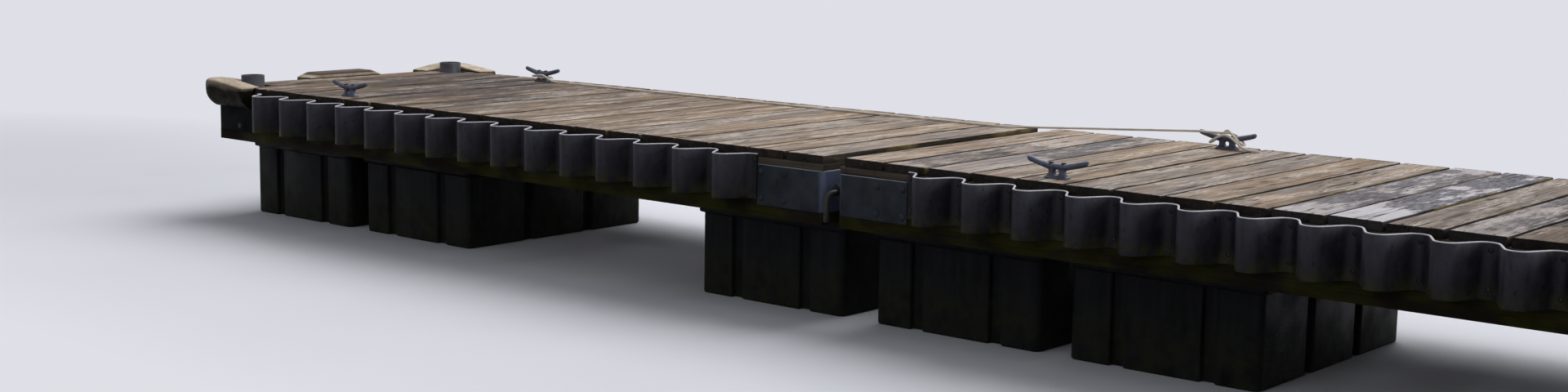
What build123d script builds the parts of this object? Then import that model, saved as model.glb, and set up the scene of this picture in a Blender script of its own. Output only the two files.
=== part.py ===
from build123d import *

import os
from math import cos, radians, tan

# Floating wooden jetty of two hinged sections, in millimetres.
# X runs along the jetty from the lake end to the shore end, Y across it from
# the near side to the far side, Z up. The origin is on the ground under the
# middle of the whole jetty, at the underside of the floats.

# Deck boards
board_width = 140.0
board_thickness = 25.0
board_gap = 12.4
boards_per_section = 20
deck_width = 1170.0

# Frame timbers
timber_thickness = 38.0
timber_height = 184.0
rim_proud_side = 5.0
rim_proud_end = 8.0
block_height = 140.0
blocks_per_side = 3

# Floats, two side by side at the lake end and one at the shore end
float_length = 610.0
float_width = 914.0
float_height = 305.0
float_end_setback = 18.0
float_pair_gap = 75.0
float_lip_height = 40.0
float_lip_proud = 12.0
float_corner_radius = 24.0
float_groove_width = 42.0
float_groove_depth = 18.0
float_side_grooves = 2
float_side_groove_spacing = 280.0
float_end_grooves = 2
float_end_groove_spacing = 304.0

# Corrugated edge guards
guard_waves = 15
guard_depth = 84.0
guard_thickness = 6.0
guard_height = 140.0
guard_below_deck = 15.0
guard_slope = 61.0
guard_end_margin = 254.0
guard_tail = 10.0

# Bent corner plates
plate_thickness = 8.0
plate_height = 125.0
plate_below_deck = 46.0
plate_side_leg = 249.0
plate_end_leg = 150.0
plate_bend_radius = 30.0

# Hinge between the sections
hinge_face_gap = 50.0
ear_thickness = 12.0
ear_side_clearance = 5.0
ear_tip_clearance = 5.0
ear_inset = 53.0
pin_diameter = 19.0
pin_clearance = 0.06
pin_end_proud = 14.0
pin_handle_reach = 20.0
pin_handle_length = 84.0
pin_bend_radius = 27.0

# Cast mooring cleats
cleat_length = 200.0
cleat_waist_height = 42.0
cleat_tip_height = 58.0
cleat_horn_thickness = 16.0
cleat_width = 24.0
cleat_body_half = 31.0
cleat_body_top = 26.0
cleat_foot_half = 42.0
cleat_foot_width = 40.0
cleat_foot_height = 4.0
cleat_foot_flare = 10.0
cleat_eye_diameter = 17.0
cleat_eye_height = 15.0
cleat_horn_width = 16.0
cleat_edge_distance = 94.0
cleat_board = 5

# Post sockets at the lake corners
socket_diameter = 88.9
socket_wall = 5.5
socket_stand = 40.0
socket_from_frame_end = 96.0
socket_from_frame_side = 87.0
socket_floor = 6.0
socket_flange_thickness = 6.0
socket_flange_length = 140.0
socket_flange_height = 120.0
socket_web = 10.0
socket_deck_clearance = 4.0

# Moulded bumpers round the lake end
bumper_thickness = 60.0
bumper_foot = 18.0
bumper_bulge = 50.0
bumper_bulge_drop = 48.0
bumper_shoulder_drop = 12.0
bumper_drop = 78.0
bumper_rise = 28.0
bumper_end_rise = 5.0
bumper_deck_lap = 33.0
bumper_side_leg = 225.0
bumper_end_leg = 168.0
bumper_back_radius = 15.0
bumper_edge_radius = 14.0
bumper_clearance = 0.5
end_bumper_length = 365.0
end_bumper_crown = 265.0
end_bumper_rise = 23.0

# Mooring rope between the far cleats
rope_diameter = 8.0
rope_clearance = 0.3
rope_joint_gap = 40.0
rope_lift_off = 60.0
rope_leg_height = 16.8
rope_run_beside_leg = 25.0
rope_slope_length = 60.0
rope_run_beside_horn = 68.0
rope_horn_overlap = 5.0
rope_height_at_horn = 50.0
rope_slope_radius = 290.0
rope_lift_radius = 900.0
rope_horn_radius = 400.0
hitch_reach = 58.0
hitch_low = 17.0
hitch_top_reach = 12.0
hitch_first_height = 50.5
hitch_second_height = 60.0
rope_tail_start = -30.0
rope_tail_turn = 60.0
rope_tail_end = 125.0
rope_tail_out = 5.0

# Heights
frame_bottom = float_height
frame_top = frame_bottom + timber_height
deck_top = frame_top + board_thickness
plate_top = deck_top - plate_below_deck
hinge_height = plate_top - plate_height / 2

# Places across the jetty
frame_half = deck_width / 2 + rim_proud_side
rim_inner = frame_half - timber_thickness
cleat_y = deck_width / 2 - cleat_edge_distance

# Places along the jetty, measured from the hinge axis
board_pitch = board_width + board_gap
deck_length = boards_per_section * board_pitch - board_gap
frame_length = deck_length + 2 * rim_proud_end
frame_start = hinge_face_gap / 2 + plate_thickness
ear_radius = hinge_face_gap / 2 - ear_tip_clearance
ear_reach = plate_thickness + hinge_face_gap / 2

# The hinge axis stands off the origin by half of what the ends differ
lake_reach = frame_start + frame_length + bumper_thickness
shore_reach = frame_start + frame_length + ear_reach + ear_radius
hinge_x = (lake_reach - shore_reach) / 2
outer_start = hinge_x - frame_start - frame_length
inner_start = hinge_x + frame_start

near = -1
far = 1
SIDES = {"near": near, "far": far}
STARTS = {"outer": outer_start, "inner": inner_start}


def board_centre(start, number):
    """X of the middle of a deck board, counted from 1 at the lake end."""
    return start + rim_proud_end + board_width / 2 + (number - 1) * board_pitch


def side_plane(x, y, z):
    """Plane facing the near side, its x along the jetty and its y upwards."""
    return Plane(origin=(x, y, z), x_dir=(1, 0, 0), z_dir=(0, -1, 0))


def save(piece, name):
    """Label a finished piece and write it to the parts folder."""
    piece.part.label = name
    export_step(piece.part, f"parts/{name}.step")


# Deck: boards across the frame, the first one cut round the post sockets
def make_boards(start, first, last):
    with BuildPart() as boards:
        with BuildSketch(Plane.XY.offset(frame_top)):
            centres = [(board_centre(start, n), 0) for n in range(first, last + 1)]
            with Locations(*centres):
                Rectangle(board_width, deck_width)
        extrude(amount=board_thickness)
    return boards


def make_notched_board(start):
    with BuildPart() as board:
        with BuildSketch(Plane.XY.offset(frame_top)):
            with Locations((board_centre(start, 1), 0)):
                Rectangle(board_width, deck_width)
            notch = socket_diameter / 2 + socket_deck_clearance
            for side in SIDES.values():
                x, y = socket_centre(start, side)
                with Locations((x, y)):
                    Circle(notch, mode=Mode.SUBTRACT)
                with Locations((x + notch, y)):
                    Rectangle(2 * notch, 2 * notch, mode=Mode.SUBTRACT)
        extrude(amount=board_thickness)
    return board


def socket_centre(start, side):
    """Plan position of a post socket at the lake end of a section."""
    return (start + socket_from_frame_end, side * (frame_half - socket_from_frame_side))


# Frame: long rims, end rims between them, a stringer and blocks
def make_side_rim(start, side):
    inner_bend = plate_bend_radius - plate_thickness
    with BuildPart() as rim:
        with BuildSketch(Plane.XY.offset(frame_bottom)):
            with Locations((start + frame_length / 2, side * (frame_half - timber_thickness / 2))):
                Rectangle(frame_length, timber_thickness)
        extrude(amount=timber_height)
        # The corner is rounded behind each bent plate
        with BuildSketch(Plane.XY.offset(plate_top - plate_height)):
            for end, inward in ((start, 1), (start + frame_length, -1)):
                with Locations((end + inward * inner_bend / 2, side * (frame_half - inner_bend / 2))):
                    Rectangle(inner_bend, inner_bend)
                with Locations((end + inward * inner_bend, side * (frame_half - inner_bend))):
                    Circle(inner_bend, mode=Mode.SUBTRACT)
        extrude(amount=plate_height, mode=Mode.SUBTRACT)
    return rim


def make_end_rim(x):
    with BuildPart() as rim:
        with BuildSketch(Plane.XY.offset(frame_bottom)):
            with Locations((x, 0)):
                Rectangle(timber_thickness, 2 * rim_inner)
        extrude(amount=timber_height)
    return rim


def make_stringer(start):
    with BuildPart() as stringer:
        with BuildSketch(Plane.XY.offset(frame_bottom)):
            with Locations((start + frame_length / 2, 0)):
                Rectangle(frame_length - 2 * timber_thickness, timber_thickness)
        extrude(amount=timber_height)
    return stringer


def make_blocks(start):
    span = rim_inner - timber_thickness / 2
    spacing = frame_length / (blocks_per_side + 1)
    with BuildPart() as blocks:
        with BuildSketch(Plane.XY.offset(frame_top - block_height)):
            for number in range(1, blocks_per_side + 1):
                for side in SIDES.values():
                    with Locations((start + number * spacing, side * (rim_inner - span / 2))):
                        Rectangle(timber_thickness, span)
        extrude(amount=block_height)
    return blocks


# Floats: moulded boxes with a lip at the top and upright grooves
def make_float(left):
    body_length = float_length - 2 * float_lip_proud
    body_width = float_width - 2 * float_lip_proud
    middle = (left + float_length / 2, 0)
    with BuildPart() as tank:
        with BuildSketch():
            with Locations(middle):
                RectangleRounded(body_length, body_width, float_corner_radius)
                with GridLocations(float_side_groove_spacing, body_width, float_side_grooves, 2):
                    Rectangle(float_groove_width, 2 * float_groove_depth, mode=Mode.SUBTRACT)
                with GridLocations(body_length, float_end_groove_spacing, 2, float_end_grooves):
                    Rectangle(2 * float_groove_depth, float_groove_width, mode=Mode.SUBTRACT)
        extrude(amount=float_height - float_lip_height)
        with BuildSketch(Plane.XY.offset(float_height - float_lip_height)):
            with Locations(middle):
                RectangleRounded(float_length, float_width, float_corner_radius)
        extrude(amount=float_lip_height)
    return tank


# Guards: a strip bent into waves, its valleys against the rim
guard_length = frame_length - 2 * guard_end_margin
wave_pitch = (guard_length - 2 * guard_tail) / guard_waves
wave_slope = radians(guard_slope)
wave_radius = (wave_pitch / 2 * tan(wave_slope) - guard_depth) / (2 / cos(wave_slope) - 2)
guard_valley = frame_half + guard_thickness / 2


def wave_edge(start, side, shift):
    """Corner points and bend radii of the line that runs shift outside the strip's middle."""
    first = start + guard_end_margin + guard_tail
    last = first + guard_waves * wave_pitch
    valley_radius = wave_radius - shift
    crest_radius = wave_radius + shift
    turn_in = valley_radius * tan(wave_slope / 2)
    flat = guard_valley + shift
    valley = guard_valley + wave_radius - valley_radius / cos(wave_slope)
    crest = guard_valley + guard_depth - wave_radius + crest_radius / cos(wave_slope)
    points = [(first - guard_tail, side * flat), (first + turn_in, side * flat)]
    for wave in range(guard_waves):
        if wave:
            points.append((first + wave * wave_pitch, side * valley))
        points.append((first + (wave + 0.5) * wave_pitch, side * crest))
    points += [(last - turn_in, side * flat), (last + guard_tail, side * flat)]
    radii = [valley_radius] + [crest_radius, valley_radius] * guard_waves
    return points, radii


def make_guard(start, side):
    back, back_radii = wave_edge(start, side, -guard_thickness / 2)
    front, front_radii = wave_edge(start, side, guard_thickness / 2)
    with BuildPart() as guard:
        with BuildSketch(Plane.XY.offset(deck_top - guard_below_deck - guard_height)):
            with BuildLine():
                FilletPolyline(*back, radius=back_radii)
                FilletPolyline(*front, radius=front_radii)
                Line(back[0], front[0])
                Line(back[-1], front[-1])
            make_face()
        extrude(amount=guard_height)
    return guard


# Corner plates: bent round a frame corner, with ears where they hinge
def make_plate(end, inward, side, ears):
    """end is the frame's end, inward the way the section runs from it."""
    outer = side * (frame_half + plate_thickness)
    face = end - inward * plate_thickness
    leg_end = end + inward * plate_side_leg
    leg_side = side * (frame_half + plate_thickness - plate_end_leg)
    inner_end = (leg_end, side * frame_half)
    inner_corner = (end, side * frame_half)
    outline = [(leg_end, outer), (face, outer), (face, leg_side), (end, leg_side), inner_corner, inner_end]
    with BuildPart() as plate:
        with BuildSketch(Plane.XY.offset(plate_top - plate_height)) as flat:
            with BuildLine():
                Polyline(*outline, close=True)
            make_face()
            bend = flat.vertices().sort_by_distance((face, outer, 0))[0]
            fillet(bend, radius=plate_bend_radius)
            inside = flat.vertices().sort_by_distance((*inner_corner, 0))[0]
            fillet(inside, radius=plate_bend_radius - plate_thickness)
        extrude(amount=plate_height)
        axis_x = end - inward * ear_reach
        for middle in ears:
            with BuildSketch(side_plane(axis_x, side * (frame_half - middle), hinge_height)):
                Circle(ear_radius)
                with Locations((inward * (ear_reach - plate_thickness) / 2, 0)):
                    Rectangle(ear_reach - plate_thickness, 2 * ear_radius)
                Circle(pin_diameter / 2 + pin_clearance, mode=Mode.SUBTRACT)
            extrude(amount=ear_thickness / 2, both=True)
    return plate


single_ear = [ear_inset]
ear_step = ear_thickness + ear_side_clearance
double_ears = [ear_inset - ear_step, ear_inset + ear_step]


# Hinge pins: a round bar through the ears, bent down at its outer end
def make_pin(side):
    inner_end = ear_inset + ear_step + ear_thickness / 2 + pin_end_proud
    start = (hinge_x, side * (frame_half - inner_end), hinge_height)
    corner = (hinge_x, side * (frame_half + pin_handle_reach), hinge_height)
    bottom = (hinge_x, side * (frame_half + pin_handle_reach), hinge_height - pin_handle_length)
    with BuildPart() as pin:
        with BuildLine() as route:
            FilletPolyline(start, corner, bottom, radius=pin_bend_radius)
        with BuildSketch(route.line ^ 0):
            Circle(pin_diameter / 2)
        sweep(path=route.line)
    return pin


# Cleats: a waisted body with an eye through it, a flared foot and rising horns
def make_cleat(start, side):
    tip = cleat_length / 2
    flare_top = cleat_foot_height + cleat_foot_flare
    flare = (cleat_foot_half - cleat_body_half) / 3
    half = [
        (cleat_foot_half, 0),
        (cleat_foot_half, cleat_foot_height),
        (cleat_body_half + flare, cleat_foot_height + cleat_foot_flare / 3),
        (cleat_body_half, flare_top),
        (cleat_body_half, cleat_body_top),
        (tip, cleat_tip_height - cleat_horn_thickness),
        (tip, cleat_tip_height),
        (cleat_body_half, cleat_waist_height),
    ]
    other_half = [(-x, z) for x, z in reversed(half)]
    middle = (board_centre(start, cleat_board), side * cleat_y, deck_top)
    body_edge = cleat_width / 2
    foot_edge = cleat_foot_width / 2
    section = [
        (foot_edge, 0),
        (foot_edge, cleat_foot_height),
        (body_edge, flare_top - cleat_foot_flare / 2),
        (body_edge, cleat_body_top),
        (cleat_horn_width / 2, cleat_tip_height),
    ]
    other_section = [(-y, z) for y, z in reversed(section)]
    with BuildPart() as cleat:
        with BuildSketch(side_plane(*middle)) as profile:
            with BuildLine():
                Polyline(*half, *other_half, close=True)
            make_face()
            tips = profile.vertices().filter_by_position(Axis.X, -tip - 1, -tip + 1)
            tips += profile.vertices().filter_by_position(Axis.X, tip - 1, tip + 1)
            fillet(tips, radius=cleat_horn_thickness * 0.45)
            with Locations((0, cleat_eye_height)):
                Circle(cleat_eye_diameter / 2, mode=Mode.SUBTRACT)
        extrude(amount=foot_edge, both=True)
        with BuildSketch(Plane(origin=middle, x_dir=(0, 1, 0), z_dir=(1, 0, 0))):
            with BuildLine():
                Polyline(*section, *other_section, close=True)
            make_face()
        extrude(amount=tip, both=True, mode=Mode.INTERSECT)
    return cleat


# Post sockets: a closed pipe with an angle welded on for the frame corner
def make_socket(start, side):
    x, y = socket_centre(start, side)
    to_end = socket_from_frame_end - timber_thickness - socket_flange_thickness
    to_side = socket_from_frame_side - timber_thickness - socket_flange_thickness
    corner = (start + timber_thickness, side * rim_inner)
    with BuildPart() as socket:
        with BuildSketch(Plane.XY.offset(frame_top - socket_flange_height)):
            for length, width in (
                (socket_flange_thickness, socket_flange_length),
                (socket_flange_length, socket_flange_thickness),
            ):
                with Locations((corner[0] + length / 2, corner[1] - side * width / 2)):
                    Rectangle(length, width)
            with Locations((x - to_end / 2, y)):
                Rectangle(to_end, socket_web)
            with Locations((x, y + side * to_side / 2)):
                Rectangle(socket_web, to_side)
        extrude(amount=socket_flange_height)
        with BuildSketch(Plane.XY.offset(frame_bottom)):
            with Locations((x, y)):
                Circle(socket_diameter / 2)
        extrude(amount=timber_height + board_thickness + socket_stand)
        with BuildSketch(Plane.XY.offset(frame_bottom + socket_floor)):
            with Locations((x, y)):
                Circle(socket_diameter / 2 - socket_wall)
        extrude(amount=timber_height + board_thickness + socket_stand, mode=Mode.SUBTRACT)
    return socket


# Bumpers: thick mouldings on the lake end, flared upwards and lapping onto the deck
def draw_bumper_section():
    """Outline of the part outside the frame, x outwards from its face and y up from the deck."""
    shoulder = (bumper_thickness, -bumper_shoulder_drop)
    Line((0, bumper_rise), (0, -bumper_drop))
    Line((0, -bumper_drop), (bumper_foot, -bumper_drop))
    ThreePointArc((bumper_foot, -bumper_drop), (bumper_bulge, -bumper_bulge_drop), shoulder)
    round_start = (bumper_thickness, bumper_rise - bumper_edge_radius)
    round_end = (bumper_thickness - bumper_edge_radius, bumper_rise)
    Line(shoulder, round_start)
    RadiusArc(round_start, round_end, -bumper_edge_radius)
    Line(round_end, (0, bumper_rise))


def slope_outline(top, bottom, top_height):
    """Corners of what is cut off a crown that falls from top_height to the end rise."""
    above = bumper_rise + bumper_thickness
    return [(top, top_height), (bottom, bumper_end_rise), (bottom, above), (top, above)]


def make_corner_bumper(start, side):
    face_y = side * frame_half
    leg_x = start + bumper_side_leg
    leg_y = side * (frame_half - bumper_end_leg)
    lap_x = start + bumper_deck_lap
    lap_y = side * (frame_half - bumper_deck_lap)
    with BuildPart() as bumper:
        with BuildLine() as route:
            FilletPolyline((leg_x, face_y), (start, face_y), (start, leg_y), radius=bumper_back_radius)
        with BuildSketch(Plane(origin=(leg_x, face_y, deck_top), x_dir=(0, side, 0), z_dir=(side, 0, 0))):
            with BuildLine():
                draw_bumper_section()
            make_face()
        sweep(path=route.line)
        with BuildSketch(Plane.XY.offset(deck_top)):
            with BuildLine():
                Polyline(
                    (start, face_y),
                    (leg_x, face_y),
                    (leg_x, lap_y),
                    (lap_x, lap_y),
                    (lap_x, leg_y),
                    (start, leg_y),
                    close=True,
                )
            make_face()
        extrude(amount=bumper_rise)
        # Room for the frame's corner, and for the plate bent round it
        back_x = start - plate_thickness - bumper_clearance
        back_y = side * (frame_half + plate_thickness + bumper_clearance)
        bottom = deck_top - bumper_drop
        back_radius = plate_bend_radius + bumper_clearance
        back_height = bumper_drop - plate_below_deck + bumper_clearance
        for x, y, radius, height in (
            (start, face_y, 0, bumper_drop),
            (back_x, back_y, back_radius, back_height),
        ):
            with BuildSketch(Plane.XY.offset(bottom)) as room:
                with Locations(((x + leg_x) / 2, (y + leg_y) / 2)):
                    Rectangle(leg_x - x, abs(y - leg_y))
                if radius:
                    fillet(room.vertices().sort_by_distance((x, y, 0))[0], radius=radius)
            extrude(amount=height, mode=Mode.SUBTRACT)
        # The crown falls away along both legs
        outside = (start - bumper_thickness, side * (frame_half + bumper_thickness), deck_top)
        reach = bumper_thickness + bumper_deck_lap
        along = Plane(origin=outside, x_dir=(1, 0, 0), z_dir=(0, -1, 0))
        across = Plane(origin=outside, x_dir=(0, -side, 0), z_dir=(-side, 0, 0))
        for plane, leg in ((along, bumper_side_leg), (across, bumper_end_leg)):
            with BuildSketch(plane):
                with BuildLine():
                    Polyline(*slope_outline(reach, bumper_thickness + leg, bumper_rise), close=True)
                make_face()
            extrude(amount=reach, both=True, mode=Mode.SUBTRACT)
    return bumper


def make_end_bumper(start):
    crown_half = end_bumper_crown / 2
    with BuildPart() as bumper:
        with BuildSketch(Plane(origin=(start, 0, deck_top), x_dir=(-1, 0, 0), z_dir=(0, 1, 0))):
            with BuildLine():
                draw_bumper_section()
            make_face()
            with Locations((-bumper_deck_lap / 2, bumper_rise / 2)):
                Rectangle(bumper_deck_lap, bumper_rise)
        extrude(amount=end_bumper_length / 2, both=True)
        reach = bumper_thickness + bumper_deck_lap
        for side in SIDES.values():
            with BuildSketch(Plane(origin=(start, 0, deck_top), x_dir=(0, side, 0), z_dir=(side, 0, 0))):
                with BuildLine():
                    Polyline(*slope_outline(crown_half, end_bumper_length / 2, end_bumper_rise), close=True)
                make_face()
            extrude(amount=reach, both=True, mode=Mode.SUBTRACT)
        with BuildSketch(Plane.XY.offset(deck_top + end_bumper_rise)):
            with Locations((start, 0)):
                Rectangle(2 * reach, 2 * end_bumper_length)
        extrude(amount=bumper_rise, mode=Mode.SUBTRACT)
    return bumper


# Rope: tied round the bodies of both far cleats, pulled straight between them
rope_radius = rope_diameter / 2
rope_lie = deck_top + rope_radius + rope_clearance
rope_at_leg = deck_top + rope_leg_height
loop_half_width = cleat_width / 2 + rope_radius + rope_clearance
loop_half_straight = cleat_body_half
outer_cleat_x = board_centre(outer_start, cleat_board)
inner_cleat_x = board_centre(inner_start, cleat_board)
rope_leave_x = outer_cleat_x + rope_run_beside_leg
rope_leave_y = cleat_y - loop_half_width - rope_diameter - rope_clearance
rope_horn_x = inner_cleat_x - cleat_length / 2 + rope_horn_overlap
horn_share = (rope_height_at_horn - cleat_body_top) / (cleat_tip_height - cleat_body_top)
horn_half_width = (cleat_width + horn_share * (cleat_horn_width - cleat_width)) / 2
rope_horn_y = cleat_y - horn_half_width - rope_radius - rope_clearance
rope_horn_z = deck_top + rope_height_at_horn
rope_lift = (hinge_x - frame_start - rim_proud_end - rope_lift_off, rope_leave_y, rope_lie)
rope_horn = (rope_horn_x, rope_horn_y, rope_horn_z)


def on_lifted_run(x):
    """Point of the straight lifted run of the rope at the given X."""
    share = (x - rope_lift[0]) / (rope_horn[0] - rope_lift[0])
    return tuple(a + share * (b - a) for a, b in zip(rope_lift, rope_horn))


def loop_round(cleat_x):
    """Closed turn of rope round a cleat's body."""
    with BuildLine(Plane(origin=(cleat_x, cleat_y, rope_at_leg))) as loop:
        for way in (1, -1):
            end = way * loop_half_straight
            edge = way * loop_half_width
            Line((-end, -edge), (end, -edge))
            ThreePointArc((end, -edge), (end + edge, 0), (end, edge))
    return loop.line


def make_rope(lines):
    with BuildPart() as rope:
        for line in lines:
            with BuildSketch(line ^ 0):
                Circle(rope_radius)
            sweep(path=line)
    return rope


def bend_radii(points, share=0.45):
    """Radius for each inner corner that leaves part of the shorter run beside it straight."""
    radii = []
    for before, corner, after in zip(points, points[1:], points[2:]):
        arriving = Vector(*corner) - Vector(*before)
        leaving = Vector(*after) - Vector(*corner)
        half_turn = radians(arriving.get_angle(leaving)) / 2
        radii.append(share * min(arriving.length, leaving.length) / tan(half_turn))
    return radii


def hitch_points(cleat_x):
    """Corners of a closed figure of eight over a cleat and under both its horns."""
    side = loop_half_width
    low = hitch_low
    turns = [
        (-hitch_reach, -side, low),
        (-hitch_top_reach, -side, hitch_first_height),
        (hitch_top_reach, side, hitch_first_height),
        (hitch_reach, side, low),
        (hitch_reach, -side, low),
        (hitch_top_reach, -side, hitch_second_height),
        (-hitch_top_reach, side, hitch_second_height),
        (-hitch_reach, side, low),
    ]
    return [(cleat_x + x, cleat_y + y, deck_top + z) for x, y, z in turns]


os.makedirs("parts", exist_ok=True)

for section, start in STARTS.items():
    end = start + frame_length
    first_whole_board = 2 if section == "outer" else 1
    save(make_boards(start, first_whole_board, boards_per_section), f"{section}_deck_boards")
    save(make_end_rim(start + timber_thickness / 2), f"{section}_lake_rim")
    save(make_end_rim(end - timber_thickness / 2), f"{section}_shore_rim")
    save(make_stringer(start), f"{section}_centre_stringer")
    save(make_blocks(start), f"{section}_cross_blocks")
    first_float = start + float_end_setback
    save(make_float(first_float), f"{section}_lake_float")
    save(make_float(first_float + float_length + float_pair_gap), f"{section}_middle_float")
    save(make_float(end - float_end_setback - float_length), f"{section}_shore_float")
    for name, side in SIDES.items():
        save(make_side_rim(start, side), f"{section}_{name}_rim")
        save(make_guard(start, side), f"{section}_{name}_guard")
        save(make_cleat(start, side), f"{section}_{name}_cleat")
        lake_ears = [] if section == "outer" else double_ears
        save(make_plate(start, 1, side, lake_ears), f"{section}_{name}_lake_plate")
        save(make_plate(end, -1, side, single_ear), f"{section}_{name}_shore_plate")

save(make_notched_board(outer_start), "outer_notched_board")
save(make_end_bumper(outer_start), "outer_end_bumper")
for name, side in SIDES.items():
    save(make_socket(outer_start, side), f"outer_{name}_post_socket")
    save(make_corner_bumper(outer_start, side), f"outer_{name}_corner_bumper")
    save(make_pin(side), f"inner_{name}_hinge_pin")

outer_points = [
    (rope_leave_x, rope_leave_y, rope_at_leg),
    (rope_leave_x + rope_slope_length, rope_leave_y, rope_lie),
    rope_lift,
    on_lifted_run(hinge_x - rope_joint_gap / 2),
]
inner_points = [
    on_lifted_run(hinge_x + rope_joint_gap / 2),
    rope_horn,
    (rope_horn_x + rope_run_beside_horn, rope_horn_y, rope_horn_z),
]
loose_end = [
    (inner_cleat_x + rope_tail_start, rope_leave_y, rope_lie),
    (inner_cleat_x + rope_tail_turn, rope_leave_y - rope_tail_out, rope_lie),
    (inner_cleat_x + rope_tail_end, rope_leave_y, rope_lie),
]
corners = hitch_points(inner_cleat_x)
corner_radii = bend_radii([corners[-1], *corners, corners[0]])
to_far = corners[:4]
to_near = corners[4:]
turn_at_left = (corners[0][0], cleat_y, corners[0][2])
turn_at_right = (corners[3][0], cleat_y, corners[3][2])
with BuildLine() as outer_run:
    FilletPolyline(*outer_points, radius=[rope_slope_radius, rope_lift_radius])
with BuildLine() as inner_run:
    FilletPolyline(*inner_points, radius=[rope_horn_radius])
with BuildLine() as rising_turn:
    FilletPolyline(turn_at_left, *to_far, turn_at_right, radius=corner_radii[:4])
with BuildLine() as crossing_turn:
    FilletPolyline(turn_at_right, *to_near, turn_at_left, radius=corner_radii[4:])
with BuildLine() as tail:
    FilletPolyline(*loose_end, radius=bend_radii(loose_end))
save(make_rope([outer_run.line, loop_round(outer_cleat_x)]), "outer_mooring_rope")
save(make_rope([inner_run.line, rising_turn.line, crossing_turn.line, tail.line]), "inner_mooring_rope")
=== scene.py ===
"""Looks of a floating wooden jetty: two hinged deck sections on float tanks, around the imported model."""

import logging
from dataclasses import dataclass
from enum import Enum
from math import copysign, cos, pi, radians, sin, sqrt, tan
from typing import Iterable, NamedTuple, Sequence

import bmesh
import bpy
from mathutils import Matrix, Vector


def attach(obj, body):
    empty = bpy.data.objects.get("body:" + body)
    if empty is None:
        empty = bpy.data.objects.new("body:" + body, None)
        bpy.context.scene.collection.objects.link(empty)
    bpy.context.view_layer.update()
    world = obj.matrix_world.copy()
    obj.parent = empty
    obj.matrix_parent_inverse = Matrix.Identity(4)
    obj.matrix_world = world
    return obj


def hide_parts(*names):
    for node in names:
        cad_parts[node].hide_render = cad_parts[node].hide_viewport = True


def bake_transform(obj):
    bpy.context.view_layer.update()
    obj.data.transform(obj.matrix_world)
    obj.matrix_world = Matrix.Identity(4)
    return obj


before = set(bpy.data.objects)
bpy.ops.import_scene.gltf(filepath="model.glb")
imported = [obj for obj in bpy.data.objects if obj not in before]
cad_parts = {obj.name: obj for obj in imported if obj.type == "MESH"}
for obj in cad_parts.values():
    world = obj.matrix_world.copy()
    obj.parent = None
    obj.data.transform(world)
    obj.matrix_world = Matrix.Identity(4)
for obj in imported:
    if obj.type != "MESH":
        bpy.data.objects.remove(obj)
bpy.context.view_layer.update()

MM = 0.001
log = logging.getLogger("jetty")

Point = tuple[float, float, float]
Spot = tuple[Point, Point]
Socket = bpy.types.NodeSocket
Node = bpy.types.Node
Tree = bpy.types.NodeTree
Mesh = bpy.types.Mesh
Piece = bpy.types.Object
Material = bpy.types.Material


# Shared sizes, in metres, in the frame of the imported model


@dataclass(frozen=True)
class Layout:
    """Sizes that several pieces share."""

    hinge_x: float = 0.0035
    frame_start: float = 0.033
    frame_length: float = 3.0516
    frame_half: float = 0.590
    deck_top: float = 0.514
    board_thickness: float = 0.025
    board_width: float = 0.140
    board_pitch: float = 0.1524
    boards: int = 20
    board_length: float = 1.164
    rim_proud_end: float = 0.008
    timber: float = 0.038
    cleat_board: int = 5
    cleat_y: float = 0.491
    plate_top: float = 0.468
    plate_height: float = 0.125
    rubbed_edge: float = 0.0016
    trodden_rise: float = 0.012


LAYOUT = Layout()


class Section(Enum):
    """The two hinged sections of the jetty."""

    OUTER = "outer"
    INNER = "inner"

    @property
    def body(self) -> str:
        """Name of the moving body of the section."""
        return f"{self.value}_section"

    @property
    def start(self) -> float:
        """X of the lake end of the section's frame."""
        if self is Section.OUTER:
            return LAYOUT.hinge_x - LAYOUT.frame_start - LAYOUT.frame_length
        return LAYOUT.hinge_x + LAYOUT.frame_start

    @property
    def end(self) -> float:
        """X of the shore end of the section's frame."""
        return self.start + LAYOUT.frame_length

    def board_x(self, number: int) -> float:
        """X of the middle of a deck board, counted from 1 at the lake end."""
        return self.start + LAYOUT.rim_proud_end + LAYOUT.board_width / 2 + (number - 1) * LAYOUT.board_pitch

    def node(self, name: str) -> str:
        """Full name of one of the section's nodes or pieces."""
        return f"{self.value}_{name}"


class Side(Enum):
    """The long sides of the jetty."""

    NEAR = -1
    FAR = 1

    @property
    def word(self) -> str:
        """The side's word in node names."""
        return self.name.lower()


# Nodes and fields


def add(tree: Tree, kind: str, inputs: dict | None = None, **settings) -> Node:
    """Add a node with its settings, values and links.

    Args:
        tree: The node tree that the node goes into.
        kind: The node's type.
        inputs: By name or number, a value, or the node, socket or field that feeds the input.
        settings: The node's own settings.

    Returns:
        The new node.
    """
    node = tree.nodes.new(kind)
    for name, value in settings.items():
        setattr(node, name, value)
    for key, item in (inputs or {}).items():
        source = item.outputs[0] if isinstance(item, Node) else getattr(item, "socket", item)
        if isinstance(source, Socket):
            tree.links.new(source, node.inputs[key])
        else:
            node.inputs[key].default_value = source
    return node


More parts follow.
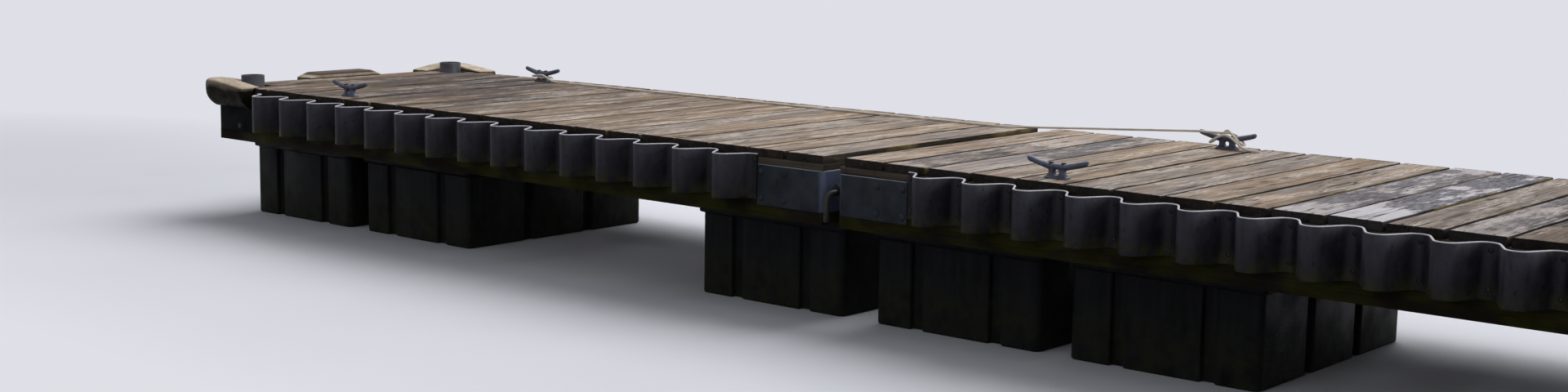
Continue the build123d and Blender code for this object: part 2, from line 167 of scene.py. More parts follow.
@dataclass(frozen=True)
class Field:
    """A number or colour that changes from place to place, reckoned with like a plain number."""

    socket: Socket

    def __add__(self, other: "Field | float") -> "Field":
        """The sum."""
        return combine("ADD", self, other)

    def __mul__(self, other: "Field | float") -> "Field":
        """The product."""
        return combine("MULTIPLY", self, other)

    def __sub__(self, other: "Field | float") -> "Field":
        """The difference."""
        return combine("SUBTRACT", self, other)

    def __rsub__(self, other: float) -> "Field":
        """The difference from a plain number."""
        return combine("SUBTRACT", other, self)

    def __abs__(self) -> "Field":
        """The field without its sign."""
        return combine("ABSOLUTE", self)

    def between(self, start: float, end: float) -> "Field":
        """A field that goes from 0 at start to 1 at end."""
        inputs = {"Value": self, "From Min": start, "From Max": end}
        return Field(add(self.socket.id_data, "ShaderNodeMapRange", inputs).outputs[0])

    def within(self, low: float, high: float) -> "Field":
        """A field that is low where this one is 0 and high where it is 1."""
        inputs = {"Value": self, "To Min": low, "To Max": high}
        return Field(add(self.socket.id_data, "ShaderNodeMapRange", inputs).outputs[0])


def combine(operation: str, a: Field | float, b: Field | float = 0.0) -> Field:
    """Join two fields, or a field and a number, with one arithmetic operation."""
    tree = (a if isinstance(a, Field) else b).socket.id_data
    return Field(add(tree, "ShaderNodeMath", {0: a, 1: b}, operation=operation).outputs[0])


def linear(code: str) -> tuple[float, float, float, float]:
    """Turn an sRGB hex colour into linear red, green, blue and alpha for a shader."""
    parts = [int(code[i : i + 2], 16) / 255 for i in (1, 3, 5)]
    return (*[p / 12.92 if p <= 0.04045 else ((p + 0.055) / 1.055) ** 2.4 for p in parts], 1.0)


def tree_with(name: str, inputs: dict[str, str]) -> tuple[Tree, bpy.types.NodeOutputs]:
    """Start a geometry tree.

    Args:
        name: The tree's name.
        inputs: The kind of each named input.

    Returns:
        The tree and the sockets of its inputs.
    """
    tree = bpy.data.node_groups.new(name, "GeometryNodeTree")
    for label, kind in {"Geometry": "Geometry", **inputs}.items():
        tree.interface.new_socket(label, in_out="INPUT", socket_type=f"NodeSocket{kind}")
    tree.interface.new_socket("Geometry", in_out="OUTPUT", socket_type="NodeSocketGeometry")
    return tree, add(tree, "NodeGroupInput").outputs


def bar(tree: Tree, along: Node | Socket, width: Socket, height: Socket, edge: Socket, steps: int) -> Node:
    """Sweep an upright bar with rounded edges along a curve.

    Args:
        tree: The geometry tree.
        along: The curve.
        width: The bar's width.
        height: The bar's height.
        edge: The radius of its edges.
        steps: How many steps the rounding has.

    Returns:
        The node that makes the bar.
    """
    outline = add(tree, "GeometryNodeCurvePrimitiveQuadrilateral", {"Width": width, "Height": height})
    inputs = {"Curve": outline, "Radius": edge, "Count": steps}
    rounded = add(tree, "GeometryNodeFilletCurve", inputs, mode="POLY")
    upright = add(tree, "GeometryNodeSetCurveNormal", {"Curve": along}, mode="Z_UP")
    inputs = {"Curve": upright, "Profile Curve": rounded, "Fill Caps": True}
    return add(tree, "GeometryNodeCurveToMesh", inputs)


def end_tree(tree: Tree, geometry: Node, material: Socket, crisp: float = 40.0) -> None:
    """Realize what a tree made, shade it with crisp edges and give it its material.

    Args:
        tree: The tree.
        geometry: The node that made it.
        material: The material's socket.
        crisp: Edges sharper than this many degrees stay crisp.
    """
    real = add(tree, "GeometryNodeRealizeInstances", {"Geometry": geometry})
    smooth = add(tree, "GeometryNodeSetShadeSmooth", {"Geometry": real, "Shade Smooth": True})
    angle = add(tree, "GeometryNodeInputMeshEdgeAngle")
    sharp = add(tree, "FunctionNodeCompare", {"A": angle, "B": radians(crisp)}, operation="GREATER_THAN")
    inputs = {"Geometry": smooth, "Selection": sharp, "Shade Smooth": False}
    edges = add(tree, "GeometryNodeSetShadeSmooth", inputs, domain="EDGE")
    painted = add(tree, "GeometryNodeSetMaterial", {"Geometry": edges, "Material": material})
    add(tree, "NodeGroupOutput", {"Geometry": painted})


# Meshes and curves


def link_piece(name: str, data: bpy.types.ID) -> Piece:
    """Put a mesh, curve, lamp or camera into the scene as an object and return it."""
    piece = bpy.data.objects.new(name, data)
    bpy.context.scene.collection.objects.link(piece)
    return piece


def oval(count: int, across: float, up: float) -> list[tuple[float, float]]:
    """Evenly turned points round an oval with the given half sizes."""
    turns = [2 * pi * j / count for j in range(count)]
    return [(across * cos(turn), up * sin(turn)) for turn in turns]


def skin(name: str, rings: Sequence[Sequence[Vector]]) -> Mesh:
    """Skin a row of rings of equally many points, with a cap on both ends.

    Args:
        name: The mesh's name.
        rings: The rings, in order.

    Returns:
        The closed mesh.
    """
    count = len(rings[0])
    points = [p for ring in rings for p in ring]
    faces = []
    for i in range(len(rings) - 1):
        for j in range(count):
            k = (j + 1) % count
            faces.append((i * count + j, i * count + k, (i + 1) * count + k, (i + 1) * count + j))
    faces.append(tuple(range(count)))
    faces.append(tuple(reversed(range(len(points) - count, len(points)))))
    mesh = bpy.data.meshes.new(name)
    mesh.from_pydata(points, [], faces)
    work = bmesh.new()
    work.from_mesh(mesh)
    bmesh.ops.recalc_face_normals(work, faces=work.faces)
    work.to_mesh(mesh)
    work.free()
    return mesh


def curve_through(name: str, kind: str, points: Sequence[Point]) -> bpy.types.Curve:
    """Make a curve with one spline.

    Args:
        name: The curve's name.
        kind: The spline's kind.
        points: The spline's points.

    Returns:
        The curve.
    """
    curve = bpy.data.curves.new(name, "CURVE")
    curve.dimensions = "3D"
    spline = curve.splines.new(kind)
    spline.points.add(len(points) - 1)
    for point, place in zip(spline.points, points):
        point.co = (*place, 1.0)
    return curve


def store(mesh: Mesh, name: str, values: Sequence[float]) -> None:
    """Store a number at each point of a mesh."""
    mesh.attributes.new(name, "FLOAT", "POINT").data.foreach_set("value", values)


def baked(piece: Piece) -> Piece:
    """Turn what an object shows into a plain mesh object of the same name.

    Args:
        piece: An object with modifiers, or a curve.

    Returns:
        The new object, which stands for the old one.
    """
    bpy.context.view_layer.update()
    name = piece.name
    mesh = bpy.data.meshes.new_from_object(piece.evaluated_get(bpy.context.evaluated_depsgraph_get()))
    bpy.data.objects.remove(piece)
    mesh.name = name
    return link_piece(name, mesh)


def joined(name: str, meshes: Iterable[Mesh]) -> Mesh:
    """Join meshes into one.

    Args:
        name: The new mesh's name.
        meshes: The meshes.

    Returns:
        The new mesh.
    """
    work = bmesh.new()
    for mesh in meshes:
        work.from_mesh(mesh)
    made = bpy.data.meshes.new(name)
    work.to_mesh(made)
    work.free()
    return made


def merged_copy(node: str) -> Mesh:
    """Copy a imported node's mesh with its points merged and its flat faces whole.

    Args:
        node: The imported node.

    Returns:
        The copy.
    """
    work = bmesh.new()
    work.from_mesh(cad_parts[node].data)
    bmesh.ops.remove_doubles(work, verts=work.verts, dist=0.01 * MM)
    bmesh.ops.dissolve_limit(work, angle_limit=radians(0.3), verts=work.verts, edges=work.edges)
    made = bpy.data.meshes.new(node)
    work.to_mesh(made)
    work.free()
    return made


def changed(piece: Piece, *modifiers: tuple[str, str, dict]) -> Piece:
    """Run modifiers on an object and keep the result as a plain mesh.

    Args:
        piece: The object.
        modifiers: The name, kind and settings of each, in order.

    Returns:
        The new object, which stands for the old one.
    """
    for name, kind, settings in modifiers:
        modifier = piece.modifiers.new(name, kind)
        for setting, value in settings.items():
            setattr(modifier, setting, value)
    return baked(piece)


def eased(name: str, mesh: Mesh, width_mm: float, segments: int = 2) -> Piece:
    """A piece with its sharp edges rounded.

    Args:
        name: The piece's name.
        mesh: Its sharp mesh.
        width_mm: How wide the rounding is.
        segments: How many steps it has.

    Returns:
        The finished object.
    """
    bevel = {
        "width": width_mm * MM,
        "segments": segments,
        "limit_method": "ANGLE",
        "angle_limit": radians(38),
    }
    piece = changed(link_piece(name, mesh), ("eased edges", "BEVEL", bevel))
    piece.data.shade_smooth()
    piece.data.set_sharp_from_angle(angle=radians(35))
    return piece


def fused(name: str, mesh: Mesh, voxel_mm: float, rounds: int) -> Piece:
    """Overlapping closed shapes run together as in a casting or a moulding.

    Args:
        name: The piece's name.
        mesh: The shapes, joined in one mesh.
        voxel_mm: The grain of the remesh.
        rounds: How often the surface is smoothed.

    Returns:
        The finished object.
    """
    remesh = ("run together", "REMESH", {"mode": "VOXEL", "voxel_size": voxel_mm * MM})
    smooth = ("smoothed", "SMOOTH", {"factor": 0.5, "iterations": rounds})
    piece = changed(link_piece(name, mesh), remesh, smooth)
    piece.data.shade_smooth()
    return piece


def grown(name: str, source: bpy.types.ID, tree: Tree, sizes: dict) -> Piece:
    """Run a geometry tree on a mesh or curve and keep the result as a plain mesh.

    Args:
        name: The piece's name.
        source: The mesh or curve that the tree starts from.
        tree: The tree, whose inputs are named for their sizes.
        sizes: A value for each input, by its name.

    Returns:
        The finished object.
    """
    piece = link_piece(name, source)
    modifier = piece.modifiers.new(tree.name, "NODES")
    modifier.node_group = tree
    for item in tree.interface.items_tree:
        if item.in_out == "INPUT" and item.name in sizes:
            modifier[item.identifier] = sizes[item.name]
    return baked(piece)


def dress(piece: Piece, material: Material, slot: str, *nodes: str) -> None:
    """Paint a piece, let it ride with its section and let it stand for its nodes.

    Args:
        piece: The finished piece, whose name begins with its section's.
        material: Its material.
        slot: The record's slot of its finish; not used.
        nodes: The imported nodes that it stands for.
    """
    piece.data.materials.clear()
    piece.data.materials.append(material)
    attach(piece, Section(piece.name.split("_")[0]).body)
    if nodes:
        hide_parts(*nodes)
    log.info("%s: %d faces, for %s", piece.name, len(piece.data.polygons), ", ".join(nodes) or "no node")


def dress_node(node: str, ending: str, edge_mm: float, coat: Material, slot: str, steps: int = 2) -> None:
    """Stand for a node with its own shape, its edges rounded, under its name and an ending."""
    dress(eased(f"{node}_{ending}", merged_copy(node), edge_mm, steps), coat, slot, node)


# Finishes


class Canvas:
    """A material in the making: its fields, and its colour, laid on coat by coat."""

    def __init__(self, name: str, first: str = "") -> None:
        """Start a material, its first colour on all of it.

        Args:
            name: The material's name.
            first: The colour, a hex code.
        """
        self.material = bpy.data.materials.new(name)
        self.material.use_nodes = True
        self.tree = self.material.node_tree
        self.tree.nodes.clear()
        self.place = add(self.tree, "ShaderNodeTexCoord").outputs["Object"]
        self.ground = self.place
        self.colour: Field | str = first
        self.roughness: Field | float = 0.5
        self.height: Field | float = 0.0

    @property
    def spot(self) -> list[Field]:
        """X, Y and Z of the surface, in metres."""
        return [Field(part) for part in add(self.tree, "ShaderNodeSeparateXYZ", {0: self.place}).outputs]

    @property
    def facing(self) -> list[Field]:
        """How far the surface looks along X, Y and Z."""
        normal = add(self.tree, "ShaderNodeNewGeometry").outputs["Normal"]
        return [Field(part) for part in add(self.tree, "ShaderNodeSeparateXYZ", {0: normal}).outputs]

    def stored(self, name: str) -> Field:
        """A number that the mesh stores."""
        return Field(add(self.tree, "ShaderNodeAttribute", attribute_name=name).outputs["Fac"])

    def patches(
        self,
        size_mm: float,
        low: float,
        high: float,
        stretch: Point = (1, 1, 1),
        shift: float = 0.0,
        detail: float = 3.0,
        rough: float = 0.5,
    ) -> Field:
        """A field of soft patches, 0 where the noise is under low and 1 over high.

        Args:
            size_mm: How far across a patch is.
            low: Noise level at which patches begin.
            high: Noise level at which they are whole.
            stretch: Scale along each axis, under 1 where patches run long.
            shift: Moves the field, so that two fields differ.
            detail: How many finer steps the noise has.
            rough: How strong the finer steps are.

        Returns:
            The field.
        """
        scale = [s / (size_mm * MM) for s in stretch]
        inputs = {"Vector": self.ground, "Scale": scale, "Location": (shift, 0.7 * shift, 1.3 * shift)}
        moved = add(self.tree, "ShaderNodeMapping", inputs)
        inputs = {"Vector": moved, "Scale": 1.0, "Detail": detail, "Roughness": rough}
        return Field(add(self.tree, "ShaderNodeTexNoise", inputs).outputs["Fac"]).between(low, high)

    def cells(self, size: Point, **settings) -> tuple[Field, Field]:
        """Cut the surface into cells.

        Args:
            size: The cells' size in metres, 0 along an axis that they don't change along.
            settings: The cell node's own settings.

        Returns:
            The distance from the middle of the cell and the cell's own random number.
        """
        scale = [1 / s if s else 0 for s in size]
        moved = add(self.tree, "ShaderNodeMapping", {"Vector": self.ground, "Scale": scale})
        cell = add(self.tree, "ShaderNodeTexVoronoi", {"Vector": moved, "Scale": 1.0}, **settings).outputs
        chance = add(self.tree, "ShaderNodeSeparateColor", {0: cell["Color"]}).outputs[0]
        return Field(cell["Distance"]), Field(chance)

    def mixed(self, under: Field | str, over: Field | str, where: Field) -> Field:
        """Lay one colour over another where a field says.

        Args:
            under: The colour below, a field or a hex code.
            over: The colour on top, a field or a hex code.
            where: How much of the top one shows.

        Returns:
            The mixed colour.
        """
        tones = [linear(tone) if isinstance(tone, str) else tone for tone in (under, over)]
        inputs = {0: where, 6: tones[0], 7: tones[1]}
        return Field(add(self.tree, "ShaderNodeMix", inputs, data_type="RGBA").outputs[2])

    def coat(self, over: Field | str, where: Field) -> None:
        """Lay a colour over what is there, as much as a field says."""
        self.colour = self.mixed(self.colour, over, where)


@dataclass(frozen=True)
class Finish:
    """A surface finish, built as one node material over its first colour."""

    name: str
    first: str = ""
    metallic: float = 0.0
    specular: float = 0.5
    bump_mm: float = 1.0

    def paint(self, on: Canvas) -> None:
        """Lay the finish's colours on a canvas and set its roughness and height.

        Args:
            on: The canvas.
        """
        raise NotImplementedError

    def build(self) -> Material:
        """Build the material.

        Returns:
            The material.
        """
        on = Canvas(self.name, self.first)
        self.paint(on)
        bump = add(on.tree, "ShaderNodeBump", {"Height": on.height, "Distance": self.bump_mm * MM})
        inputs = {"Base Color": on.colour, "Roughness": on.roughness, "Normal": bump}
        inputs |= {"Metallic": self.metallic, "Specular IOR Level": self.specular}
        shader = add(on.tree, "ShaderNodeBsdfPrincipled", inputs)
        add(on.tree, "ShaderNodeOutputMaterial", {"Surface": shader})
        return on.material


@dataclass(frozen=True)
class WeatheredBoards(Finish):
    """Softwood decking, sawn and left bare: silvered tan with grey-blue mildew and worn pale grain."""

    name: str = "weathered softwood decking"
    first: str = "#a88f76"
    specular: float = 0.2
    bump_mm: float = 2.2
    silver: str = "#938b86"
    brown: str = "#63513f"
    worn: str = "#cfc5bb"
    mildew: str = "#272731"
    bleach: str = "#c3c0c6"
    damp: str = "#584637"
    check: str = "#17110d"
    # Painted shade for the side faces between the boards
    side: str = "#1e1812"
    moss: str = "#76683a"
    # Dark end grain with painted shade, for the board ends
    end: str = "#070504"
    half_length: float = 0.582
    ragged: float = 0.007

    def paint(self, on: Canvas) -> None:
        """Lay on the colours; grain runs along Y and every board has its own shift.

        Args:
            on: The canvas.
        """
        tint, bleach = on.stored("tint"), on.stored("bleach")
        inputs = {0: tint, 1: (17.0, 31.0, 9.0), 2: on.place}
        on.ground = add(on.tree, "ShaderNodeVectorMath", inputs, operation="MULTIPLY_ADD").outputs[0]
        x, y, _ = on.spot
        # Growth rings sawn through show as lines a few millimetres apart, in bands
        fine = on.patches(4, 0.36, 0.64, (1, 0.12, 1), detail=4)
        grain = on.patches(11, 0.38, 0.62, (1, 0.05, 1), 11, 5)
        bands = on.patches(42, 0.4, 0.6, (1, 0.10, 1), 3, 5)
        # Single boards are silvered more, and both ends of the jetty more than its middle
        silvered = tint + bands + abs(x + 0.2).between(1.0, 3.0) * 0.5
        on.coat(self.silver, silvered.between(0.6, 1.6))
        # The boards are painted darker towards the lake end and again towards the shore end
        shore = x.between(0.3, 1.8) * 0.3 + x.between(1.8, 2.3) * 0.62
        on.coat(self.damp, combine("MAXIMUM", x.between(-0.2, -2.2) * 0.78, shore))
        on.coat(self.brown, on.patches(26, 0.46, 0.60, (1, 0.08, 1), 9, 7, 0.65) * 0.62)
        on.coat(self.brown, grain * 0.35)
        on.coat(self.worn, on.patches(60, 0.47, 0.60, (1, 0.15, 1), 7, 6, 0.62) * fine * 0.8)
        # Pits and the dark lines of late wood
        on.coat(self.check, on.patches(9, 0.54, 0.68, (1, 0.3, 1), 23, 7, 0.75) * 0.42)
        on.coat(self.check, on.patches(5, 0.53, 0.66, (1, 0.05, 1), 41, 3) * 0.4)
        # Bleached wood and mildew where the mesh stores them, ragged along the grain
        on.coat(self.bleach, bleach * on.patches(30, 0.26, 0.50, (1, 0.2, 1), 4, 6, 0.7) * 0.9)
        level = on.patches(75, 0.0, 1.0, (1, 0.25, 1), 12, 10, 0.74) + on.stored("mildew") * 0.32
        grown_over = level.between(0.73, 0.80) * bleach.within(0.75, 0.95)
        on.coat(self.mildew, grown_over * (1 - fine * 0.35))
        knots = self.set_knots(on)
        # Drying checks are thin dark lines along the grain, here and there
        off = abs(on.patches(26, 0.0, 1.0, (1, 0.03, 1), 20, 2) - 0.5)
        checks = (1 - off.between(0.008, 0.020)) * on.patches(90, 0.49, 0.53, (1, 0.3, 1), 31)
        on.coat(self.check, checks * 0.9)
        facing = on.facing
        # Painted shade: the side faces between the boards are painted near black, with real moss on some of
        # them
        mossy = on.patches(120, 0.0, 1.0, (1, 0.4, 1), 17, 5) + bleach * 0.12
        side_shade_and_moss = on.mixed(self.side, self.moss, mossy.between(0.54, 0.64))
        on.coat(side_shade_and_moss, abs(facing[0]).between(0.6, 0.9) * 0.9)
        # Board ends painted near black: dark end grain with painted shade, ragged onto the top beside them
        fray = on.patches(16, 0.35, 0.7, (1, 0.5, 1), 2) * self.ragged
        cut = (abs(y) + fray).between(self.half_length, self.half_length + 0.002)
        on.coat(self.end, combine("MAXIMUM", abs(facing[1]).between(0.5, 0.8), cut) * 0.94)
        on.roughness = bands.within(0.78, 0.95)
        on.height = 1 - (fine * 0.3 + grain * 0.3 + combine("MAXIMUM", checks, knots))

    def set_knots(self, on: Canvas) -> Field:
        """Set dark knots, 25 mm across and 60 mm along the grain, in some places.

        Args:
            on: The canvas.

        Returns:
            The field of the knots.
        """
        distance, chance = on.cells((0.120, 0.300, 0), voronoi_dimensions="2D")
        chosen = combine("LESS_THAN", chance, 0.25)
        wavy = distance + on.patches(9, 0.0, 1.0, (1, 0.4, 1), 6) * 0.10
        knot = (1 - wavy.between(0.10, 0.12)) * chosen
        on.coat(self.brown, (1 - wavy.between(0.12, 0.22)) * chosen * 0.5)
        on.coat(self.check, knot * 0.6)
        return knot


@dataclass(frozen=True)
class FrameTimber(Finish):
    """Pressure treated softwood frame: dark and wet, green with algae towards the water."""

    name: str = "pressure treated frame timber"
    first: str = "#1b1811"
    specular: float = 0.06
    bump_mm: float = 1.2
    dry: str = "#5a5146"
    algae: str = "#32330f"
    black: str = "#0b0a07"

    def paint(self, on: Canvas) -> None:
        """Lay on the colours; grain runs along X and the wetness rises from the lower edge.

        Args:
            on: The canvas.
        """
        height = on.spot[2]
        grain = on.patches(5, 0.35, 0.65, (0.03, 0.3, 1), detail=4)
        cloud = on.patches(120, 0.35, 0.65, (0.5, 1, 1), 4)
        on.coat(self.dry, (height + cloud * 0.03).between(0.450, 0.485))
        green = on.patches(60, 0.42, 0.6, (0.4, 1, 1), 9, 5) * (1 - height.between(0.35, 0.42))
        on.coat(self.algae, green * 0.8)
        on.coat(self.black, grain * 0.35)
        on.coat(self.black, on.patches(90, 0.55, 0.7, (0.6, 1, 0.25), 15) * 0.6)
        # Painted shade under the deck: faces that look up are painted near black
        on.coat(self.black, on.facing[2].between(0.4, 0.8) * 0.9)
        on.roughness, on.height = cloud.within(0.6, 0.9), grain * -0.5


@dataclass(frozen=True)
class GuardStrip(Finish):
    """Extruded rubber strip: chalky dark grey, darker towards the bottom and green at its foot, with painted
    sheen on the crests and a painted highlight along its top edge.
    """

    name: str = "extruded rubber edge guard"
    first: str = "#201f25"
    specular: float = 0.1
    bump_mm: float = 0.4
    chalk: str = "#4b4b55"
    black: str = "#0c0b0d"
    algae: str = "#37361a"
    rubbed: str = "#c3c2c9"
    top: float = 0.499
    bottom: float = 0.359
    crest: float = 0.677

    def paint(self, on: Canvas) -> None:
        """Lay on the colours; streaks run down the strip and its top edge gets a painted highlight.

        Args:
            on: The canvas.
        """
        _, across, height = on.spot
        cloud = on.patches(90, 0.4, 0.65, (1, 1, 0.5), 5, 4)
        chalky = on.patches(45, 0.42, 0.68, (1, 1, 0.7), 13, 7, 0.65)
        on.coat(self.chalk, on.patches(16, 0.35, 0.7, (1, 1, 0.08), detail=4) * 0.2)
        on.coat(self.chalk, chalky * 0.3)
        # Painted sheen: the crests of the waves are painted paler in the chalk colour
        crests = abs(across).between(self.crest - 0.075, self.crest - 0.03)
        on.coat(self.chalk, crests * (chalky * 0.4 + 0.5))
        on.coat(self.black, cloud * 0.5)
        # Darker towards the bottom
        on.coat(self.black, (height + cloud * 0.03).between(self.top, self.bottom) * 0.75)
        on.coat(self.black, on.patches(14, 0.62, 0.72, (1, 1, 0.6), 30, 5) * 0.7)
        low = 1 - height.between(self.bottom, self.bottom + 0.045)
        on.coat(self.algae, low * on.patches(30, 0.4, 0.6, shift=8, detail=5) * 0.9)
        scratch = on.patches(4, 0.70, 0.75, (0.3, 0.3, 1), 40, 4)
        on.coat(self.chalk, scratch * 0.6)
        # Painted highlight along the top edge
        on.coat(self.rubbed, height.between(self.top - 0.0032, self.top - 0.0016))
        on.roughness, on.height = chalky.within(0.34, 0.55), chalky - scratch * 0.6


@dataclass(frozen=True)
class FloatShell(Finish):
    """Rotationally moulded polyethylene: black with a dull skin, dusted grey and green at the water."""

    name: str = "moulded polyethylene float"
    first: str = "#0b0c0d"
    bump_mm: float = 0.6
    specular: float = 0.08
    dust: str = "#222326"
    scum: str = "#23261a"

    def paint(self, on: Canvas) -> None:
        """Lay on the colours; dust streaks run down and scum lies round the waterline.

        Args:
            on: The canvas.
        """
        cloud = on.patches(110, 0.4, 0.68, shift=3, detail=5)
        on.coat(self.dust, on.patches(28, 0.42, 0.7, (1, 1, 0.12), detail=5) * 0.55)
        on.coat(self.dust, cloud * 0.35)
        scum = (1 - on.spot[2].between(0.09, 0.19)) * on.patches(45, 0.35, 0.6, shift=11, detail=5)
        on.coat(self.scum, scum * 0.8)
        on.roughness, on.height = cloud.within(0.42, 0.7), on.patches(3, 0.3, 0.7, shift=2)


@dataclass(frozen=True)
class DippedSteel(Finish):
    """Hot-dip galvanised steel: blue-grey zinc spangle dulled by weather; where set, painted sheen on faces
    that look along X and a painted highlight along the top edge.
    """

    name: str = "galvanised steel plate"
    first: str = "#20262c"
    metallic: float = 0.3
    specular: float = 0.2
    bump_mm: float = 0.1
    dull: str = "#171b20"
    dark: str = "#0d0f12"
    rust: str = "#4d2f1c"
    rubbed: str = "#98a3b2"
    sheltered: str = "#7b84a0"
    shelter: float = 0.0
    rubbed_above: float = 9.0
    spangle_size: float = 0.009
    spangle: float = 0.35
    rusted: float = 0.25

    def paint(self, on: Canvas) -> None:
        """Lay on spangle, dull film, dark stains, a little rust, painted sheen and a painted highlight.

        Args:
            on: The canvas.
        """
        _, crystal = on.cells((self.spangle_size,) * 3)
        cloud = on.patches(55, 0.38, 0.66, shift=6, detail=5)
        on.coat(self.dull, crystal * self.spangle)
        on.coat(self.dull, cloud * 0.6)
        on.coat(self.dark, on.patches(22, 0.58, 0.72, (1, 1, 0.4), 14, 5) * 0.7)
        on.coat(self.rust, on.patches(18, 0.64, 0.74, shift=25, detail=5) * self.rusted)
        # Painted sheen on faces that look along X, the end legs of the plates
        on.coat(self.sheltered, abs(on.facing[0]).between(0.35, 0.9) * self.shelter)
        # Painted highlight along the top edge
        on.coat(self.rubbed, on.spot[2].between(self.rubbed_above, self.rubbed_above + 0.001) * 0.8)
        on.roughness, on.height = cloud.within(0.42, 0.68), on.patches(2.5, 0.3, 0.7, shift=2)


@dataclass(frozen=True)
class BumperMoulding(Finish):
    """Moulded vinyl: cream on top, brown and green with grime on the sides, and painted shade on faces that
    look down or out.
    """

    name: str = "moulded vinyl bumper"
    first: str = "#c6b8a6"
    specular: float = 0.05
    bump_mm: float = 0.15
    tan: str = "#94816a"
    grime: str = "#16120a"
    black: str = "#070502"
    trodden: str = "#51463f"
    trodden_above: float = 9.0

    def paint(self, on: Canvas) -> None:
        """Lay on the colours: clean on faces that look up, grime and painted shade elsewhere.

        Args:
            on: The canvas.
        """
        facing, height = on.facing, on.spot[2]
        cloud = on.patches(60, 0.35, 0.65, shift=2, detail=5)
        fine = on.patches(20, 0.45, 0.7, (1, 1, 0.5), 9, 5)
        on.coat(self.tan, cloud * 0.7)
        on.coat(self.grime, fine * 0.25)
        on.coat(self.trodden, height.between(self.trodden_above, self.trodden_above + 0.004))
        # Grime with painted shade darkens what looks down or out, and leaves what looks up or in over the
        # deck
        over_deck = height.between(LAYOUT.deck_top - 0.002, LAYOUT.deck_top + 0.004)
        faces_up_or_in = combine("MAXIMUM", facing[2], facing[0].between(0.3, 0.8) * over_deck * 0.9)
        side = 1 - (faces_up_or_in + cloud * 0.25).between(0.45, 1.05)
        # The darkening of the side is weaker near its upper edge and full from a little way down
        darker_below = combine("MAXIMUM", (height + cloud * 0.012).between(0.548, 0.510), 0.4)
        scuffs = on.patches(40, 0.6, 0.75, shift=18) * 0.12
        on.coat(on.mixed(on.mixed(self.grime, self.black, cloud), self.tan, scuffs), side * darker_below)
        on.roughness, on.height = fine.within(0.5, 0.75), fine


@dataclass(frozen=True)
class LaidRope(Finish):
    """Three-strand polyester rope: off-white fibres, greyed in the lay by dirt and painted shade."""

    name: str = "laid polyester rope"
    first: str = "#ece4d9"
    bump_mm: float = 0.4
    grey: str = "#c8bdb1"
    dirt: str = "#7d6f61"

    def paint(self, on: Canvas) -> None:
        """Lay on the colours; dirt and painted shade darken the grooves between the strands.

        Args:
            on: The canvas.
        """
        cloud = on.patches(35, 0.35, 0.65, shift=1, detail=4)
        fibres = on.patches(1.2, 0.3, 0.7, shift=3)
        on.coat(self.grey, cloud * 0.6)
        # Painted shade with some dirt, in the grooves between the strands
        on.coat(self.dirt, on.stored("groove") * 0.6)
        on.coat(self.dirt, fibres * 0.2)
        on.roughness, on.height = cloud.within(0.8, 0.95), fibres


def background_ray(tree: Tree) -> Field:
    """Tell which rays show the background: those from the camera, off metal or through glass.

    Args:
        tree: The tree of a material or world.

    Returns:
        A field that is 1 for such a ray.
    """
    path = add(tree, "ShaderNodeLightPath").outputs
    mirrored = combine("MAXIMUM", Field(path["Is Glossy Ray"]), Field(path["Is Transmission Ray"]))
    return combine("MAXIMUM", Field(path["Is Camera Ray"]), mirrored)


@dataclass(frozen=True)
class StudioFloor(Finish):
    """Matt painted floor, plain and pale, which runs into an even pale backdrop."""

    name: str = "matt painted floor"
    first: str = "#dcdde3"
    shadow: str = "#d6d7de"
    bounce: str = "#6c6d72"
    backdrop: str = "#dfe0e7"
    squeeze: float = 0.3
    near: float = 1.1
    far: float = 2.3

    def build(self) -> Material:
        """Build the material, lit near the object and even beyond it.

        Returns:
            The material.
        """
        on = Canvas(self.name, self.first)
        seen = background_ray(on.tree)
        on.coat(self.shadow, on.patches(900, 0.3, 0.7))
        painted = add(on.tree, "ShaderNodeBsdfDiffuse", {"Color": on.mixed(self.bounce, on.colour, seen)})
        even = add(on.tree, "ShaderNodeEmission", {"Color": linear(self.backdrop)})
        inputs = {0: on.place, 1: (self.squeeze, 1.0, 0.0)}
        flat = add(on.tree, "ShaderNodeVectorMath", inputs, operation="MULTIPLY")
        away = Field(add(on.tree, "ShaderNodeVectorMath", {0: flat}, operation="LENGTH").outputs["Value"])
        share = seen * away.between(self.near, self.far)
        both = add(on.tree, "ShaderNodeMixShader", {0: share, 1: painted, 2: even})
        add(on.tree, "ShaderNodeOutputMaterial", {"Surface": both})
        return on.material


# Rows of screws and bolts


class Head(NamedTuple):
    """A head's radius, its height as a share of that, and its sides."""

    radius_mm: float
    rise: float
    sides: int = 10


